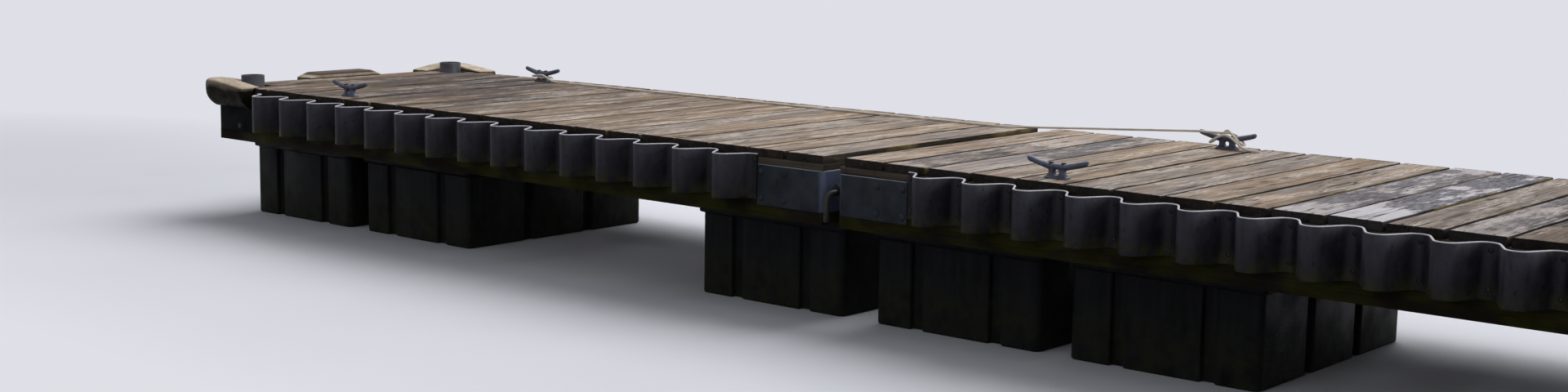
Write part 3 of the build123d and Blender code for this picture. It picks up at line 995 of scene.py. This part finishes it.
class Heads:
    """Screw and bolt heads set on points, each looking the way its point says."""

    def __init__(self) -> None:
        """Build the tree that grows the heads."""
        kinds = {"Radius": "Float", "Rise": "Float", "Sides": "Int", "Material": "Material"}
        self.tree, size = tree_with("fastener heads", kinds)
        inputs = {"Segments": size["Sides"], "Rings": 6, "Radius": size["Radius"]}
        sphere = add(self.tree, "GeometryNodeMeshUVSphere", inputs)
        flat = add(self.tree, "ShaderNodeCombineXYZ", {"X": 1.0, "Y": 1.0, "Z": size["Rise"]})
        head = add(self.tree, "GeometryNodeTransform", {"Geometry": sphere, "Scale": flat})
        out = add(self.tree, "GeometryNodeInputNamedAttribute", {"Name": "out"}, data_type="FLOAT_VECTOR")
        turn = add(self.tree, "FunctionNodeAlignRotationToVector", {"Vector": out}, axis="Z")
        inputs = {"Points": size[0], "Instance": head, "Rotation": turn}
        heads = add(self.tree, "GeometryNodeInstanceOnPoints", inputs)
        end_tree(self.tree, heads, size["Material"], 60)

    def set_on(self, name: str, spots: Sequence[Spot], head: Head, material: Material) -> None:
        """Grow and dress one head on each spot.

        Args:
            name: The piece's name.
            spots: The middle of each head and the way it looks.
            head: The heads' shape.
            material: The heads' material.
        """
        mesh = bpy.data.meshes.new(name)
        mesh.from_pydata([spot for spot, _ in spots], [], [])
        out = mesh.attributes.new("out", "FLOAT_VECTOR", "POINT")
        out.data.foreach_set("vector", [x for _, way in spots for x in way])
        sizes = {"Radius": head.radius_mm * MM, "Rise": head.rise, "Sides": head.sides, "Material": material}
        dress(grown(name, mesh, self.tree, sizes), material, "pin_steel")


# Deck boards


@dataclass
class Decking:
    """Planks across the frame, worn round at their edges and never quite in line.

    Mildew has a board, its first and last Y and its strength; bleach has a board and its strength.
    """

    finish: WeatheredBoards
    heads: Heads
    screw: Material
    edge: float = 0.0035
    notched_edge_mm: float = 3.0
    notched_tint: float = 0.37
    seed: int = 7
    fade: float = 0.16
    least_mildew: float = 0.12
    screw_head: Head = Head(4.2, 0.25, 8)
    screw_half_gap: float = 0.036
    screw_sunk: float = 0.0012
    notches_from: float = 0.4
    outer_mildew: tuple[tuple[int, float, float, float], ...] = (
        (2, 0.00, 0.50, 0.9), (3, -0.20, 0.50, 0.9), (4, -0.10, 0.50, 1.0), (5, -0.30, 0.40, 1.0),
        (6, -0.40, 0.35, 1.0), (7, -0.10, 0.45, 0.8), (8, -0.40, 0.10, 0.9), (9, 0.05, 0.45, 0.6),
    )
    inner_mildew: tuple[tuple[int, float, float, float], ...] = (
        (2, -0.50, 0.10, 0.9), (3, -0.10, 0.45, 0.95), (4, 0.10, 0.40, 0.6), (10, -0.50, 0.50, 0.9),
        (11, -0.30, 0.08, 1.0), (11, 0.22, 0.55, 1.0), (12, -0.58, -0.25, 0.5), (13, -0.50, 0.30, 0.8),
        (14, -0.58, 0.10, 0.75), (15, -0.45, 0.30, 0.7), (17, -0.20, 0.45, 0.6),
    )
    inner_bleach: tuple[tuple[int, float], ...] = ((2, 0.15), (3, 0.15), (10, 0.65), (11, 1.0), (13, 0.3))

    def board_tree(self) -> Tree:
        """Build the tree that lays a row of boards.

        Returns:
            The tree.
        """
        floats = ("First", "Pitch", "Middle", "Width", "Thickness", "Length", "Edge")
        kinds = {"Count": "Int", **dict.fromkeys(floats, "Float"), "Seed": "Int", "Material": "Material"}
        tree, size = tree_with("deck boards", kinds)
        first = add(tree, "ShaderNodeCombineXYZ", {"X": size["First"], "Z": size["Middle"]})
        step = add(tree, "ShaderNodeCombineXYZ", {"X": size["Pitch"]})
        inputs = {"Count": size["Count"], "Start Location": first, "Offset": step}
        row = add(tree, "GeometryNodeMeshLine", inputs)
        length = Field(size["Length"])
        ends = [add(tree, "ShaderNodeCombineXYZ", {"Y": length * share}) for share in (-0.5, 0.5)]
        line = add(tree, "GeometryNodeCurvePrimitiveLine", {"Start": ends[0], "End": ends[1]})
        fine = add(tree, "GeometryNodeResampleCurve", {"Curve": line, "Count": 40})
        board = bar(tree, fine, size["Width"], size["Thickness"], size["Edge"], 2)
        # Every board is turned a little and shoved a little
        chances = []
        for low, high in (
            ((-0.001, -0.006, -0.0016), (0.001, 0.006, 0.0016)),
            ((-0.001, -0.004, -0.0008), (0.001, 0.004, 0.0004)),
        ):
            inputs = {"Seed": size["Seed"], "Min": low, "Max": high}
            chances.append(add(tree, "FunctionNodeRandomValue", inputs, data_type="FLOAT_VECTOR"))
        inputs = {"Points": row, "Instance": board, "Rotation": chances[0]}
        boards = add(tree, "GeometryNodeInstanceOnPoints", inputs)
        inputs = {"Instances": boards, "Translation": chances[1], "Local Space": False}
        moved = add(tree, "GeometryNodeTranslateInstances", inputs)
        chance = add(tree, "FunctionNodeRandomValue", {"Seed": size["Seed"]}, data_type="FLOAT")
        inputs = {"Geometry": moved, "Name": "tint", "Value": chance.outputs["Value"]}
        tinted = add(tree, "GeometryNodeStoreNamedAttribute", inputs, domain="INSTANCE")
        real = add(tree, "GeometryNodeRealizeInstances", {"Geometry": tinted})
        # The wood has warped by a millimetre or two
        waver = Field(add(tree, "ShaderNodeTexNoise", {"Scale": 6.0, "Detail": 2.0}).outputs["Fac"])
        offset = add(tree, "ShaderNodeCombineXYZ", {"Z": waver.within(-0.0022, 0.0012)})
        bent = add(tree, "GeometryNodeSetPosition", {"Geometry": real, "Offset": offset})
        end_tree(tree, bent, size["Material"])
        return tree

    def overgrow(self, mesh: Mesh, section: Section) -> None:
        """Store how much mildew grows, and how bleached the wood is, at each point of a section's boards.

        Args:
            mesh: The boards' mesh.
            section: The section they lie on.
        """
        inner = section is Section.INNER
        strips, bleach = (self.inner_mildew, dict(self.inner_bleach)) if inner else (self.outer_mildew, {})
        last_x = [section.board_x(n) + LAYOUT.board_pitch / 2 for n in range(1, LAYOUT.boards + 1)]
        amounts, pale = [], []
        for vertex in mesh.vertices:
            x, y = vertex.co.x, vertex.co.y
            board = 1 + next(n for n, last in enumerate(last_x) if x < last)
            amount = self.least_mildew
            for number, low, high, strength in strips:
                if number == board:
                    inside = min(1.0, max(0.0, min(y - low, high - y) / self.fade + 1))
                    amount = max(amount, strength * inside)
            amounts.append(amount)
            pale.append(bleach.get(board, 0.0))
        store(mesh, "mildew", amounts)
        store(mesh, "bleach", pale)

    def screw_spots(self, section: Section) -> list[Spot]:
        """Place two screws over each long timber in every board, but none beside the notches.

        Args:
            section: The section whose boards they hold.

        Returns:
            The middle of each head and the way it looks.
        """
        rim = LAYOUT.frame_half - LAYOUT.timber / 2
        return [
            ((section.board_x(n) + dx, y, LAYOUT.deck_top - self.screw_sunk), (0, 0, 1))
            for n in range(1, LAYOUT.boards + 1)
            for y in (rim, 0.0, -rim)
            for dx in (-self.screw_half_gap, self.screw_half_gap)
            if not (section is Section.OUTER and n == 1 and abs(y) > self.notches_from)
        ]

    def build(self) -> None:
        """Lay the boards and screws of both sections."""
        material = self.finish.build()
        tree = self.board_tree()
        for section in Section:
            first = 2 if section is Section.OUTER else 1
            sizes = {
                "Count": LAYOUT.boards + 1 - first,
                "First": section.board_x(first),
                "Pitch": LAYOUT.board_pitch,
                "Middle": LAYOUT.deck_top - LAYOUT.board_thickness / 2,
                "Width": LAYOUT.board_width,
                "Thickness": LAYOUT.board_thickness,
                "Length": LAYOUT.board_length,
                "Edge": self.edge,
                "Seed": self.seed + first,
                "Material": material,
            }
            name = section.node("weathered_boards")
            piece = grown(name, bpy.data.meshes.new("boards"), tree, sizes)
            self.overgrow(piece.data, section)
            dress(piece, material, "deck_wood", section.node("deck_boards"))
            spots = self.screw_spots(section)
            self.heads.set_on(section.node("deck_screws"), spots, self.screw_head, self.screw)
        notched = eased("outer_end_board", merged_copy("outer_notched_board"), self.notched_edge_mm)
        store(notched.data, "tint", [self.notched_tint] * len(notched.data.vertices))
        self.overgrow(notched.data, Section.OUTER)
        dress(notched, material, "deck_wood", "outer_notched_board")


# Frame timbers and floats


@dataclass
class FrameAndFloats:
    """Treated timbers with eased arrises, and the moulded float tanks below them."""

    timber: FrameTimber
    shell: FloatShell
    timber_edge_mm: float = 3.0
    float_edge_mm: float = 9.0
    float_edge_steps: int = 3
    rims: tuple[str, ...] = ("near_rim", "far_rim", "lake_rim", "shore_rim")
    inside: tuple[str, ...] = ("centre_stringer", "cross_blocks")
    floats: tuple[str, ...] = ("lake_float", "middle_float", "shore_float")

    def build(self) -> None:
        """Dress the timbers and floats of both sections."""
        timber, shell = self.timber.build(), self.shell.build()
        for section in Section:
            for name in (*self.rims, *self.inside):
                dress_node(section.node(name), "timber", self.timber_edge_mm, timber, "frame_wood")
            for name in self.floats:
                edge, steps = self.float_edge_mm, self.float_edge_steps
                dress_node(section.node(name), "tank", edge, shell, "float_shell", steps)


# Corrugated guards


@dataclass
class EdgeGuards:
    """Rubber strips bent in waves along both long sides, screwed to the rim in every valley."""

    finish: GuardStrip
    heads: Heads
    screw: Material
    waves: int = 15
    depth: float = 0.084
    thickness: float = 0.006
    edge: float = 0.0026
    height: float = 0.140
    below_deck: float = 0.015
    slope: float = 61.0
    end_margin: float = 0.254
    tail: float = 0.010
    arc_steps: int = 6
    screw_rows: tuple[float, float] = (0.020, 0.114)
    screw_proud: float = 0.001
    screw_head: Head = Head(6.5, 0.4)

    @property
    def pitch(self) -> float:
        """Length of one wave along the jetty."""
        return (LAYOUT.frame_length - 2 * self.end_margin - 2 * self.tail) / self.waves

    def wave_line(self, section: Section, side: Side) -> list[Point]:
        """The strip's middle line: arcs in the valleys and on the crests, straight flanks between.

        Args:
            section: The section it runs along.
            side: The long side it is on.

        Returns:
            Points along the line, at the strip's mid height.
        """
        slope = radians(self.slope)
        radius = (self.pitch / 2 * tan(slope) - self.depth) / (2 / cos(slope) - 2)
        valley = LAYOUT.frame_half + self.thickness / 2
        start = section.start + self.end_margin
        z = LAYOUT.deck_top - self.below_deck - self.height / 2
        line = [(0.0, 0.0)]
        for half in range(2 * self.waves + 1):
            x = self.tail + half * self.pitch / 2
            first = 0 if half == 0 else -self.arc_steps
            last = 0 if half == 2 * self.waves else self.arc_steps
            for step in range(first, last + 1):
                turn = slope * step / self.arc_steps
                rise = radius * (1 - cos(turn))
                line.append((x + radius * sin(turn), self.depth - rise if half % 2 else rise))
        line.append((line[-1][0] + self.tail, 0.0))
        return [(start + x, side.value * (valley + y), z) for x, y in line]

    def strip_tree(self) -> Tree:
        """Build the tree that draws the strip's section along its line.

        Returns:
            The tree.
        """
        kinds = {"Thickness": "Float", "Height": "Float", "Edge": "Float", "Material": "Material"}
        tree, size = tree_with("edge guard strip", kinds)
        strip = bar(tree, size[0], size["Thickness"], size["Height"], size["Edge"], 3)
        end_tree(tree, strip, size["Material"], 50)
        return tree

    def screw_spots(self, section: Section, side: Side) -> list[Spot]:
        """Place two screws in every valley, on the strip's outer face.

        Args:
            section: The section that the strip runs along.
            side: The long side it is on.

        Returns:
            The middle of each head and the way it looks.
        """
        y = side.value * (LAYOUT.frame_half + self.thickness + self.screw_proud)
        top = LAYOUT.deck_top - self.below_deck
        first = section.start + self.end_margin + self.tail
        return [
            ((first + wave * self.pitch, y, top - drop), (0, side.value, 0))
            for wave in range(self.waves + 1)
            for drop in self.screw_rows
        ]

    def build(self) -> None:
        """Bend and dress the four guards."""
        material, tree = self.finish.build(), self.strip_tree()
        sizes = {"Thickness": self.thickness, "Height": self.height, "Edge": self.edge, "Material": material}
        for section in Section:
            for side in Side:
                node = section.node(f"{side.word}_guard")
                curve = curve_through(node, "POLY", self.wave_line(section, side))
                dress(grown(f"{node}_strip", curve, tree, sizes), material, "edge_guard", node)
                spots = self.screw_spots(section, side)
                self.heads.set_on(f"{node}_screws", spots, self.screw_head, self.screw)


# Steel at the corners


@dataclass
class CornerSteel:
    """Bent plates with hinge ears, the pins through them and the bolts that hold them."""

    plate: DippedSteel
    stained: DippedSteel
    pin: DippedSteel
    heads: Heads
    bolt: Material
    bolt_places: tuple[float, float] = (0.143, 0.237)
    bolt_margin: float = 0.022
    bolt_head: Head = Head(11.5, 0.45, 14)
    plate_thickness: float = 0.008
    plate_edge_mm: float = 1.2
    pin_edge_mm: float = 1.5

    def bolt_spots(self, section: Section) -> list[Spot]:
        """Place bolt heads on the side legs of a section's plates.

        Args:
            section: The section.

        Returns:
            The middle of each head and the way it looks.
        """
        y = LAYOUT.frame_half + self.plate_thickness
        top, bottom = LAYOUT.plate_top, LAYOUT.plate_top - LAYOUT.plate_height
        return [
            ((end + way * place, side.value * y, z), (0, side.value, 0))
            for side in Side
            for end, way in ((section.start, 1), (section.end, -1))
            for place in self.bolt_places
            for z in (top - self.bolt_margin, bottom + self.bolt_margin)
        ]

    def build(self) -> None:
        """Dress the plates, bolts and pins."""
        steel, stained, rod = self.plate.build(), self.stained.build(), self.pin.build()
        for section in Section:
            for side in Side:
                for end in ("lake", "shore"):
                    # The outer lake plates take a near black copy of the plate steel: painted shade
                    coat = stained if section is Section.OUTER and end == "lake" else steel
                    node = section.node(f"{side.word}_{end}_plate")
                    dress_node(node, "steel", self.plate_edge_mm, coat, "plate_steel")
            spots = self.bolt_spots(section)
            self.heads.set_on(section.node("plate_bolts"), spots, self.bolt_head, self.bolt)
        for side in Side:
            dress_node(f"inner_{side.word}_hinge_pin", "bar", self.pin_edge_mm, rod, "pin_steel")


# Cleats


@dataclass
class Cleats:
    """Cast cleats with a flared foot, an eye and two horns, held by two domed bolts."""

    metal: DippedSteel
    heads: Heads
    bolt: Material
    tip: float = 0.100
    tip_top: float = 0.058
    waist: float = 0.026
    waist_top: float = 0.042
    horn_steps: int = 36
    round_end: float = 0.009
    half_heights: tuple[float, float] = (0.0095, 0.0080)
    half_widths: tuple[float, float] = (0.0122, 0.0080)
    eye_height: float = 0.017
    eye_radius: float = 0.0102
    bolt_x: float = 0.020
    bolt_sunk: float = 0.001
    bolt_head: Head = Head(8.5, 0.55, 12)
    grain_mm: float = 1.5
    smoothing: int = 3
    body_rings: tuple[Point, ...] = (
        (0.0380, 0.0200, 0.0), (0.0375, 0.0195, 0.0030), (0.0325, 0.0140, 0.006), (0.0280, 0.0100, 0.011),
        (0.0265, 0.0092, 0.018), (0.0280, 0.0098, 0.026), (0.0300, 0.0100, 0.033),
    )

    def horn_rings(self) -> list[list[Vector]]:
        """Draw rings across the horns, from tip to tip.

        Returns:
            The rings.
        """
        rings = []
        (thick, thin), (wide, narrow) = self.half_heights, self.half_widths
        start = self.waist_top - thick
        for step in range(self.horn_steps + 1):
            x = self.tip * (2 * step / self.horn_steps - 1)
            out = max(0.0, abs(x) - self.waist) / (self.tip - self.waist)
            end = min(1.0, max(0.03, (self.tip - abs(x)) / self.round_end))
            size = sqrt(1 - (1 - end) ** 2)
            middle = start + (self.tip_top - thin - start) * out**1.15
            ring = oval(16, (wide - (wide - narrow) * out) * size, (thick - (thick - thin) * out) * size)
            rings.append([Vector((x, y, middle + z)) for y, z in ring])
        return rings

    def casting(self) -> Piece:
        """Run the horns, body and foot together, with the eye cut through.

        Returns:
            The casting, which stands at the origin.
        """
        rounds = []
        for length, width, z in self.body_rings:
            square = [[copysign(sqrt(abs(part)), part) for part in turn] for turn in oval(32, 1, 1)]
            rounds.append([Vector((length * x, width * y, z)) for x, y in square])
        eye = oval(24, self.eye_radius, self.eye_radius)
        bore = [[Vector((x, y, self.eye_height + z)) for x, z in eye] for y in (-0.04, 0.04)]
        cutter = link_piece("cleat eye", skin("cleat eye", bore))
        cut = {"operation": "DIFFERENCE", "solver": "EXACT", "object": cutter}
        body = changed(link_piece("cleat body", skin("cleat body", rounds)), ("eye", "BOOLEAN", cut))
        both = joined("cleat", [body.data, skin("horns", self.horn_rings())])
        for used in (cutter, body):
            bpy.data.objects.remove(used)
        return fused("cleat casting", both, self.grain_mm, self.smoothing)

    def build(self) -> None:
        """Set the four cleats on their boards."""
        metal = self.metal.build()
        casting = self.casting()
        for section in Section:
            x = section.board_x(LAYOUT.cleat_board)
            top = LAYOUT.deck_top + self.waist_top - self.bolt_sunk
            spots = []
            for side in Side:
                node = section.node(f"{side.word}_cleat")
                y = side.value * LAYOUT.cleat_y
                mesh = casting.data.copy()
                mesh.transform(Matrix.Translation((x, y, LAYOUT.deck_top)))
                dress(link_piece(f"{node}_casting", mesh), metal, "cleat_metal", node)
                spots += [((x + dx, y, top), (0, 0, 1)) for dx in (-self.bolt_x, self.bolt_x)]
            self.heads.set_on(section.node("cleat_bolts"), spots, self.bolt_head, self.bolt)
        bpy.data.objects.remove(casting)


# Fittings of the lake end


@dataclass
class LakeEnd:
    """Post sockets through the first board and the moulded bumpers round the end.

    A melt is the grain in millimetres and the rounds of smoothing that run a moulding together.
    """

    socket: DippedSteel
    moulding: BumperMoulding
    crown: BumperMoulding
    side_leg: float = 0.225
    socket_edge_mm: float = 1.0
    corner_melt: tuple[float, int] = (2.5, 20)
    end_melt: tuple[float, int] = (3.0, 30)
    corner_out: float = 0.060
    soft_from: float = 0.100
    soft_to: float = 0.210
    soft_above: float = -0.030
    edge_share: float = 0.35
    lip_width: float = 0.027
    lip_outline: tuple[tuple[float, float], ...] = (
        (0.0, -0.045), (0.010, -0.046), (0.010, -0.079), (0.022, -0.080), (0.053, -0.050), (0.063, -0.014),
        (0.062, 0.001), (0.055, 0.007), (0.0, 0.007),
    )

    def lip(self, side: Side) -> Mesh:
        """Make the thicker rounded end of a corner bumper's side leg.

        Args:
            side: The long side it is on.

        Returns:
            The closed mesh.
        """
        leg_end = Section.OUTER.start + self.side_leg
        rings = [
            [
                Vector((leg_end - back, side.value * (LAYOUT.frame_half + out), LAYOUT.deck_top + up))
                for out, up in self.lip_outline
            ]
            for back in (0.0, self.lip_width)
        ]
        return skin("bumper lip", rings)

    def soften(self, piece: Piece, side: Side) -> Piece:
        """Round the top of a corner bumper broadly at its corner, less towards its ends.

        Args:
            piece: The moulding.
            side: The long side it is on.

        Returns:
            The rounded moulding.
        """
        corner_y = side.value * (LAYOUT.frame_half + self.corner_out)
        corner = Vector((Section.OUTER.start - self.corner_out, corner_y))
        group = piece.vertex_groups.new(name="soft")
        for vertex in piece.data.vertices:
            away = (vertex.co.xy - corner).length
            share = (self.soft_to - away) / (self.soft_to - self.soft_from)
            if vertex.co.z > LAYOUT.deck_top + self.soft_above:
                group.add([vertex.index], min(1.0, max(self.edge_share, share)), "REPLACE")
        smooth = {"vertex_group": group.name, "factor": 0.6, "iterations": 110}
        piece = changed(piece, ("broad rounding", "SMOOTH", smooth))
        piece.data.shade_smooth()
        return piece

    def build(self) -> None:
        """Dress the sockets and bumpers."""
        steel, vinyl = self.socket.build(), self.moulding.build()
        for side in Side:
            node = f"outer_{side.word}_post_socket"
            dress_node(node, "pipe", self.socket_edge_mm, steel, "socket_steel")
            node = f"outer_{side.word}_corner_bumper"
            both = joined(node, [merged_copy(node), self.lip(side)])
            corner = self.soften(fused(f"{node}_moulding", both, *self.corner_melt), side)
            dress(corner, vinyl, "bumper_plastic", node)
        node = "outer_end_bumper"
        end = fused(f"{node}_moulding", merged_copy(node), *self.end_melt)
        dress(end, self.crown.build(), "bumper_plastic", node)


# Mooring rope


@dataclass
class MooringRope:
    """One laid rope, looped round the outer cleat and hitched to the inner one.

    The loop and the hitch are in millimetres from the middle of their cleat's foot.
    """

    finish: LaidRope
    diameter: float = 0.008
    lay: float = 0.027
    ring_step: float = 0.003
    ring_points: int = 12
    bend_half: float = 0.06
    on_deck: float = 0.0043
    lift: tuple[float, float] = (0.060, 0.0246)
    run_up: float = 0.048
    horn: Point = (-0.095, -0.0133, 0.050)
    loop: tuple[Point, ...] = (
        (-12, -16.3, 16.8), (31, -16.3, 16.8), (47.3, -16.3, 16.8), (47.3, 16.3, 16.8), (31, 16.3, 16.8),
        (-31, 16.3, 17.2), (-47.3, 16.3, 17.6), (-47.3, -16.3, 19), (-31, -16.5, 23), (0, -17, 26.5),
        (28, -19, 26), (54, -22, 15), (85, -24.6, 4.3), (133, -24.6, 4.3),
    )
    hitch: tuple[Point, ...] = (
        (-95, -13.3, 50), (-60, -14, 50), (-16, -14.5, 50.5), (13, 16.3, 50.5), (58, 16.5, 17),
        (58, -16.5, 17), (14, -16.5, 59), (-12, 16.3, 59), (-58, 16.5, 17), (-58, -16.5, 17), (-14, -22, 44),
        (12, -24.5, 47), (46, -25, 25), (66, -26, 9), (92, -27, 4.3), (125, -24.6, 4.3),
    )

    def route(self) -> list[Point]:
        """Lay out the rope, from its end at the outer cleat to its loose end past the inner one.

        Returns:
            The control points of the rope's spline.
        """
        outer, inner = (
            (section.board_x(LAYOUT.cleat_board), LAYOUT.cleat_y, LAYOUT.deck_top)
            for section in (Section.OUTER, Section.INNER)
        )
        loop, hitch = (
            [tuple(a + b * MM for a, b in zip(cleat, spot)) for spot in spots]
            for cleat, spots in ((outer, self.loop), (inner, self.hitch))
        )
        back, aside = self.lift
        x = LAYOUT.hinge_x - LAYOUT.frame_start - LAYOUT.rim_proud_end - back
        start = (x, LAYOUT.cleat_y - aside, LAYOUT.deck_top + self.on_deck)
        horn = tuple(a + b for a, b in zip(inner, self.horn))
        run = Vector(horn) - Vector(start)
        slope = [tuple(Vector(start) + share * run) for share in (0.066, 0.934)]
        return [*loop, (x - self.run_up, start[1], start[2]), start, *slope, *hitch]

    def centreline(self) -> list[Vector]:
        """Read points from the route's smooth spline.

        Returns:
            The points, evenly apart.
        """
        curve = curve_through("rope route", "NURBS", self.route())
        curve.splines[0].resolution_u = 24
        curve.splines[0].order_u = 3
        curve.splines[0].use_endpoint_u = True
        carrier = bpy.data.objects.new("rope route", curve)
        mesh = bpy.data.meshes.new_from_object(carrier)
        line = [v.co.copy() for v in mesh.vertices]
        bpy.data.objects.remove(carrier)
        length = sum((b - a).length for a, b in zip(line, line[1:]))
        count = round(length / self.ring_step)
        step, even, walked = length / count, [line[0]], 0.0
        goal = step
        for a, b in zip(line, line[1:]):
            span = (b - a).length
            while goal <= walked + span and len(even) < count:
                even.append(a.lerp(b, (goal - walked) / span))
                goal += step
            walked += span
        return even + [line[-1]]

    def build(self) -> None:
        """Lay the strands along the route, which runs over the hinge."""
        line = self.centreline()
        length = sum((b - a).length for a, b in zip(line, line[1:]))
        radius = self.diameter / 2
        tangent = (line[1] - line[0]).normalized()
        normal = tangent.orthogonal().normalized()
        rings, grooves = [], []
        for i, place in enumerate(line):
            ahead = (line[min(i + 1, len(line) - 1)] - line[max(i - 1, 0)]).normalized()
            normal = (tangent.rotation_difference(ahead) @ normal).normalized()
            tangent = ahead
            across = tangent.cross(normal)
            twist = 2 * pi * i * self.ring_step / self.lay
            ring = []
            for j in range(self.ring_points):
                angle = 2 * pi * j / self.ring_points
                lobe = abs(cos(1.5 * (angle - twist)))
                grooves.append(1 - min(1.0, lobe * 1.6))
                reach = radius * (0.80 + 0.20 * lobe**0.7)
                ring.append(place + reach * (cos(angle) * normal + sin(angle) * across))
            rings.append(ring)
        mesh = skin("mooring_rope_strands", rings)
        store(mesh, "groove", grooves)
        mesh.shade_smooth()
        rope = link_piece("mooring_rope_strands", mesh)
        rope.data.materials.append(self.finish.build())
        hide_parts("outer_mooring_rope", "inner_mooring_rope")
        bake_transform(rope)
        log.info("mooring rope: %.3f m", length)


# Studio


@dataclass
class Studio:
    """Pale floor, soft light and the camera at the view of the photograph.

    Each lamp has a name, its place, its size and its power; all look at the middle of the jetty.
    """

    floor_finish: StudioFloor
    place: Point = (3.7119, -5.2213, 1.2544)
    yaw: float = -40.03
    pitch: float = 8.24
    roll: float = 0.921
    focal_px: float = 2475.3
    width_px: float = 1920.0
    middle: Point = (0.0, 0.0, 0.4)
    sky: str = "#eceef4"
    sky_strength: float = 0.32
    lamps: tuple[tuple[str, Point, float, float], ...] = (
        ("key", (-1.5, 3.6, 6.2), 6.0, 540.0),
        ("side", (9.0, 1.0, 2.6), 3.5, 300.0),
        ("front", (1.0, -9.0, 3.0), 5.0, 90.0),
    )
    floor_half: float = 60.0
    floor_heights: tuple[float, float] = (-0.02, -0.0004)

    def set_camera(self) -> None:
        """Set the camera from its measured place and angles."""
        yaw, pitch, roll = radians(self.yaw), radians(self.pitch), radians(self.roll)
        ahead = Vector((sin(yaw) * cos(pitch), cos(yaw) * cos(pitch), -sin(pitch)))
        right = Vector((cos(yaw), -sin(yaw), 0))
        up = right.cross(ahead)
        turned_right = right * cos(roll) + up * sin(roll)
        turned_up = up * cos(roll) - right * sin(roll)
        data = bpy.data.cameras.new("camera")
        data.sensor_width = 36.0
        data.lens = self.focal_px / self.width_px * data.sensor_width
        data.clip_end = 200.0
        camera = link_piece("camera", data)
        axes = Matrix((turned_right, turned_up, -ahead)).transposed().to_4x4()
        camera.matrix_world = Matrix.Translation(self.place) @ axes
        bpy.context.scene.camera = camera

    def set_light(self) -> None:
        """Set the lamps and an even world."""
        world = bpy.data.worlds.new("studio")
        world.use_nodes = True
        tree = world.node_tree
        tree.nodes.clear()
        light = add(tree, "ShaderNodeBackground", {"Color": linear(self.sky), "Strength": self.sky_strength})
        backdrop = add(tree, "ShaderNodeBackground", {"Color": linear(self.floor_finish.backdrop)})
        both = add(tree, "ShaderNodeMixShader", {0: background_ray(tree), 1: light, 2: backdrop})
        add(tree, "ShaderNodeOutputWorld", {"Surface": both})
        bpy.context.scene.world = world
        for name, place, size, power in self.lamps:
            data = bpy.data.lights.new(name, "AREA")
            data.size = size
            data.energy = power
            lamp = link_piece(name, data)
            lamp.location = place
            lamp.rotation_euler = (Vector(place) - Vector(self.middle)).to_track_quat("Z", "Y").to_euler()

    def lay_floor(self) -> None:
        """Lay the pale floor."""
        half = self.floor_half
        corners = ((-half, -half), (half, -half), (half, half), (-half, half))
        rings = [[Vector((x, y, z)) for x, y in corners] for z in self.floor_heights]
        floor = link_piece("studio_floor", skin("studio_floor", rings))
        floor.data.materials.append(self.floor_finish.build())

    def build(self) -> None:
        """Set up the whole studio."""
        self.set_camera()
        self.set_light()
        self.lay_floor()
        bpy.context.scene.view_settings.view_transform = "Standard"


def main() -> None:
    """Build every sub-assembly in order."""
    logging.basicConfig(level=logging.INFO, format="%(name)s: %(message)s")
    Studio(StudioFloor()).build()
    MooringRope(LaidRope()).build()
    heads = Heads()
    bolt = DippedSteel("galvanised bolt", "#24282d", dull="#16191c").build()
    screw = DippedSteel("weathered screw", "#1d1d20", dull="#121214", rusted=0.5).build()
    Decking(WeatheredBoards(), heads, screw).build()
    FrameAndFloats(FrameTimber(), FloatShell()).build()
    EdgeGuards(GuardStrip(), heads, screw).build()
    plate = DippedSteel(rubbed_above=LAYOUT.plate_top - LAYOUT.rubbed_edge, shelter=0.6)
    pin = DippedSteel("galvanised pin bar", "#343330", metallic=0.35, dull="#232120")
    # A near black copy of the plate steel: painted shade for the outer lake plates
    stained = DippedSteel(
        "galvanised steel plate, stained",
        "#0c0e10",
        metallic=0.0,
        specular=0.03,
        dull="#08090a",
        dark="#050506",
        spangle=0.1,
    )
    CornerSteel(plate, stained, pin, heads, bolt).build()
    cast = DippedSteel(
        "galvanised cast iron", "#585b6c", metallic=0.4, dull="#3a3d4b", dark="#1f2029", spangle=0.1
    )
    Cleats(cast, heads, bolt).build()
    pipe = DippedSteel("galvanised pipe", "#55565c", dull="#403f41", dark="#2d2a26", spangle=0.1)
    trodden_above = LAYOUT.deck_top + LAYOUT.trodden_rise
    trodden = BumperMoulding("moulded vinyl bumper, trodden", trodden_above=trodden_above)
    LakeEnd(pipe, BumperMoulding(), trodden).build()


if __name__ == "__main__":
    main()
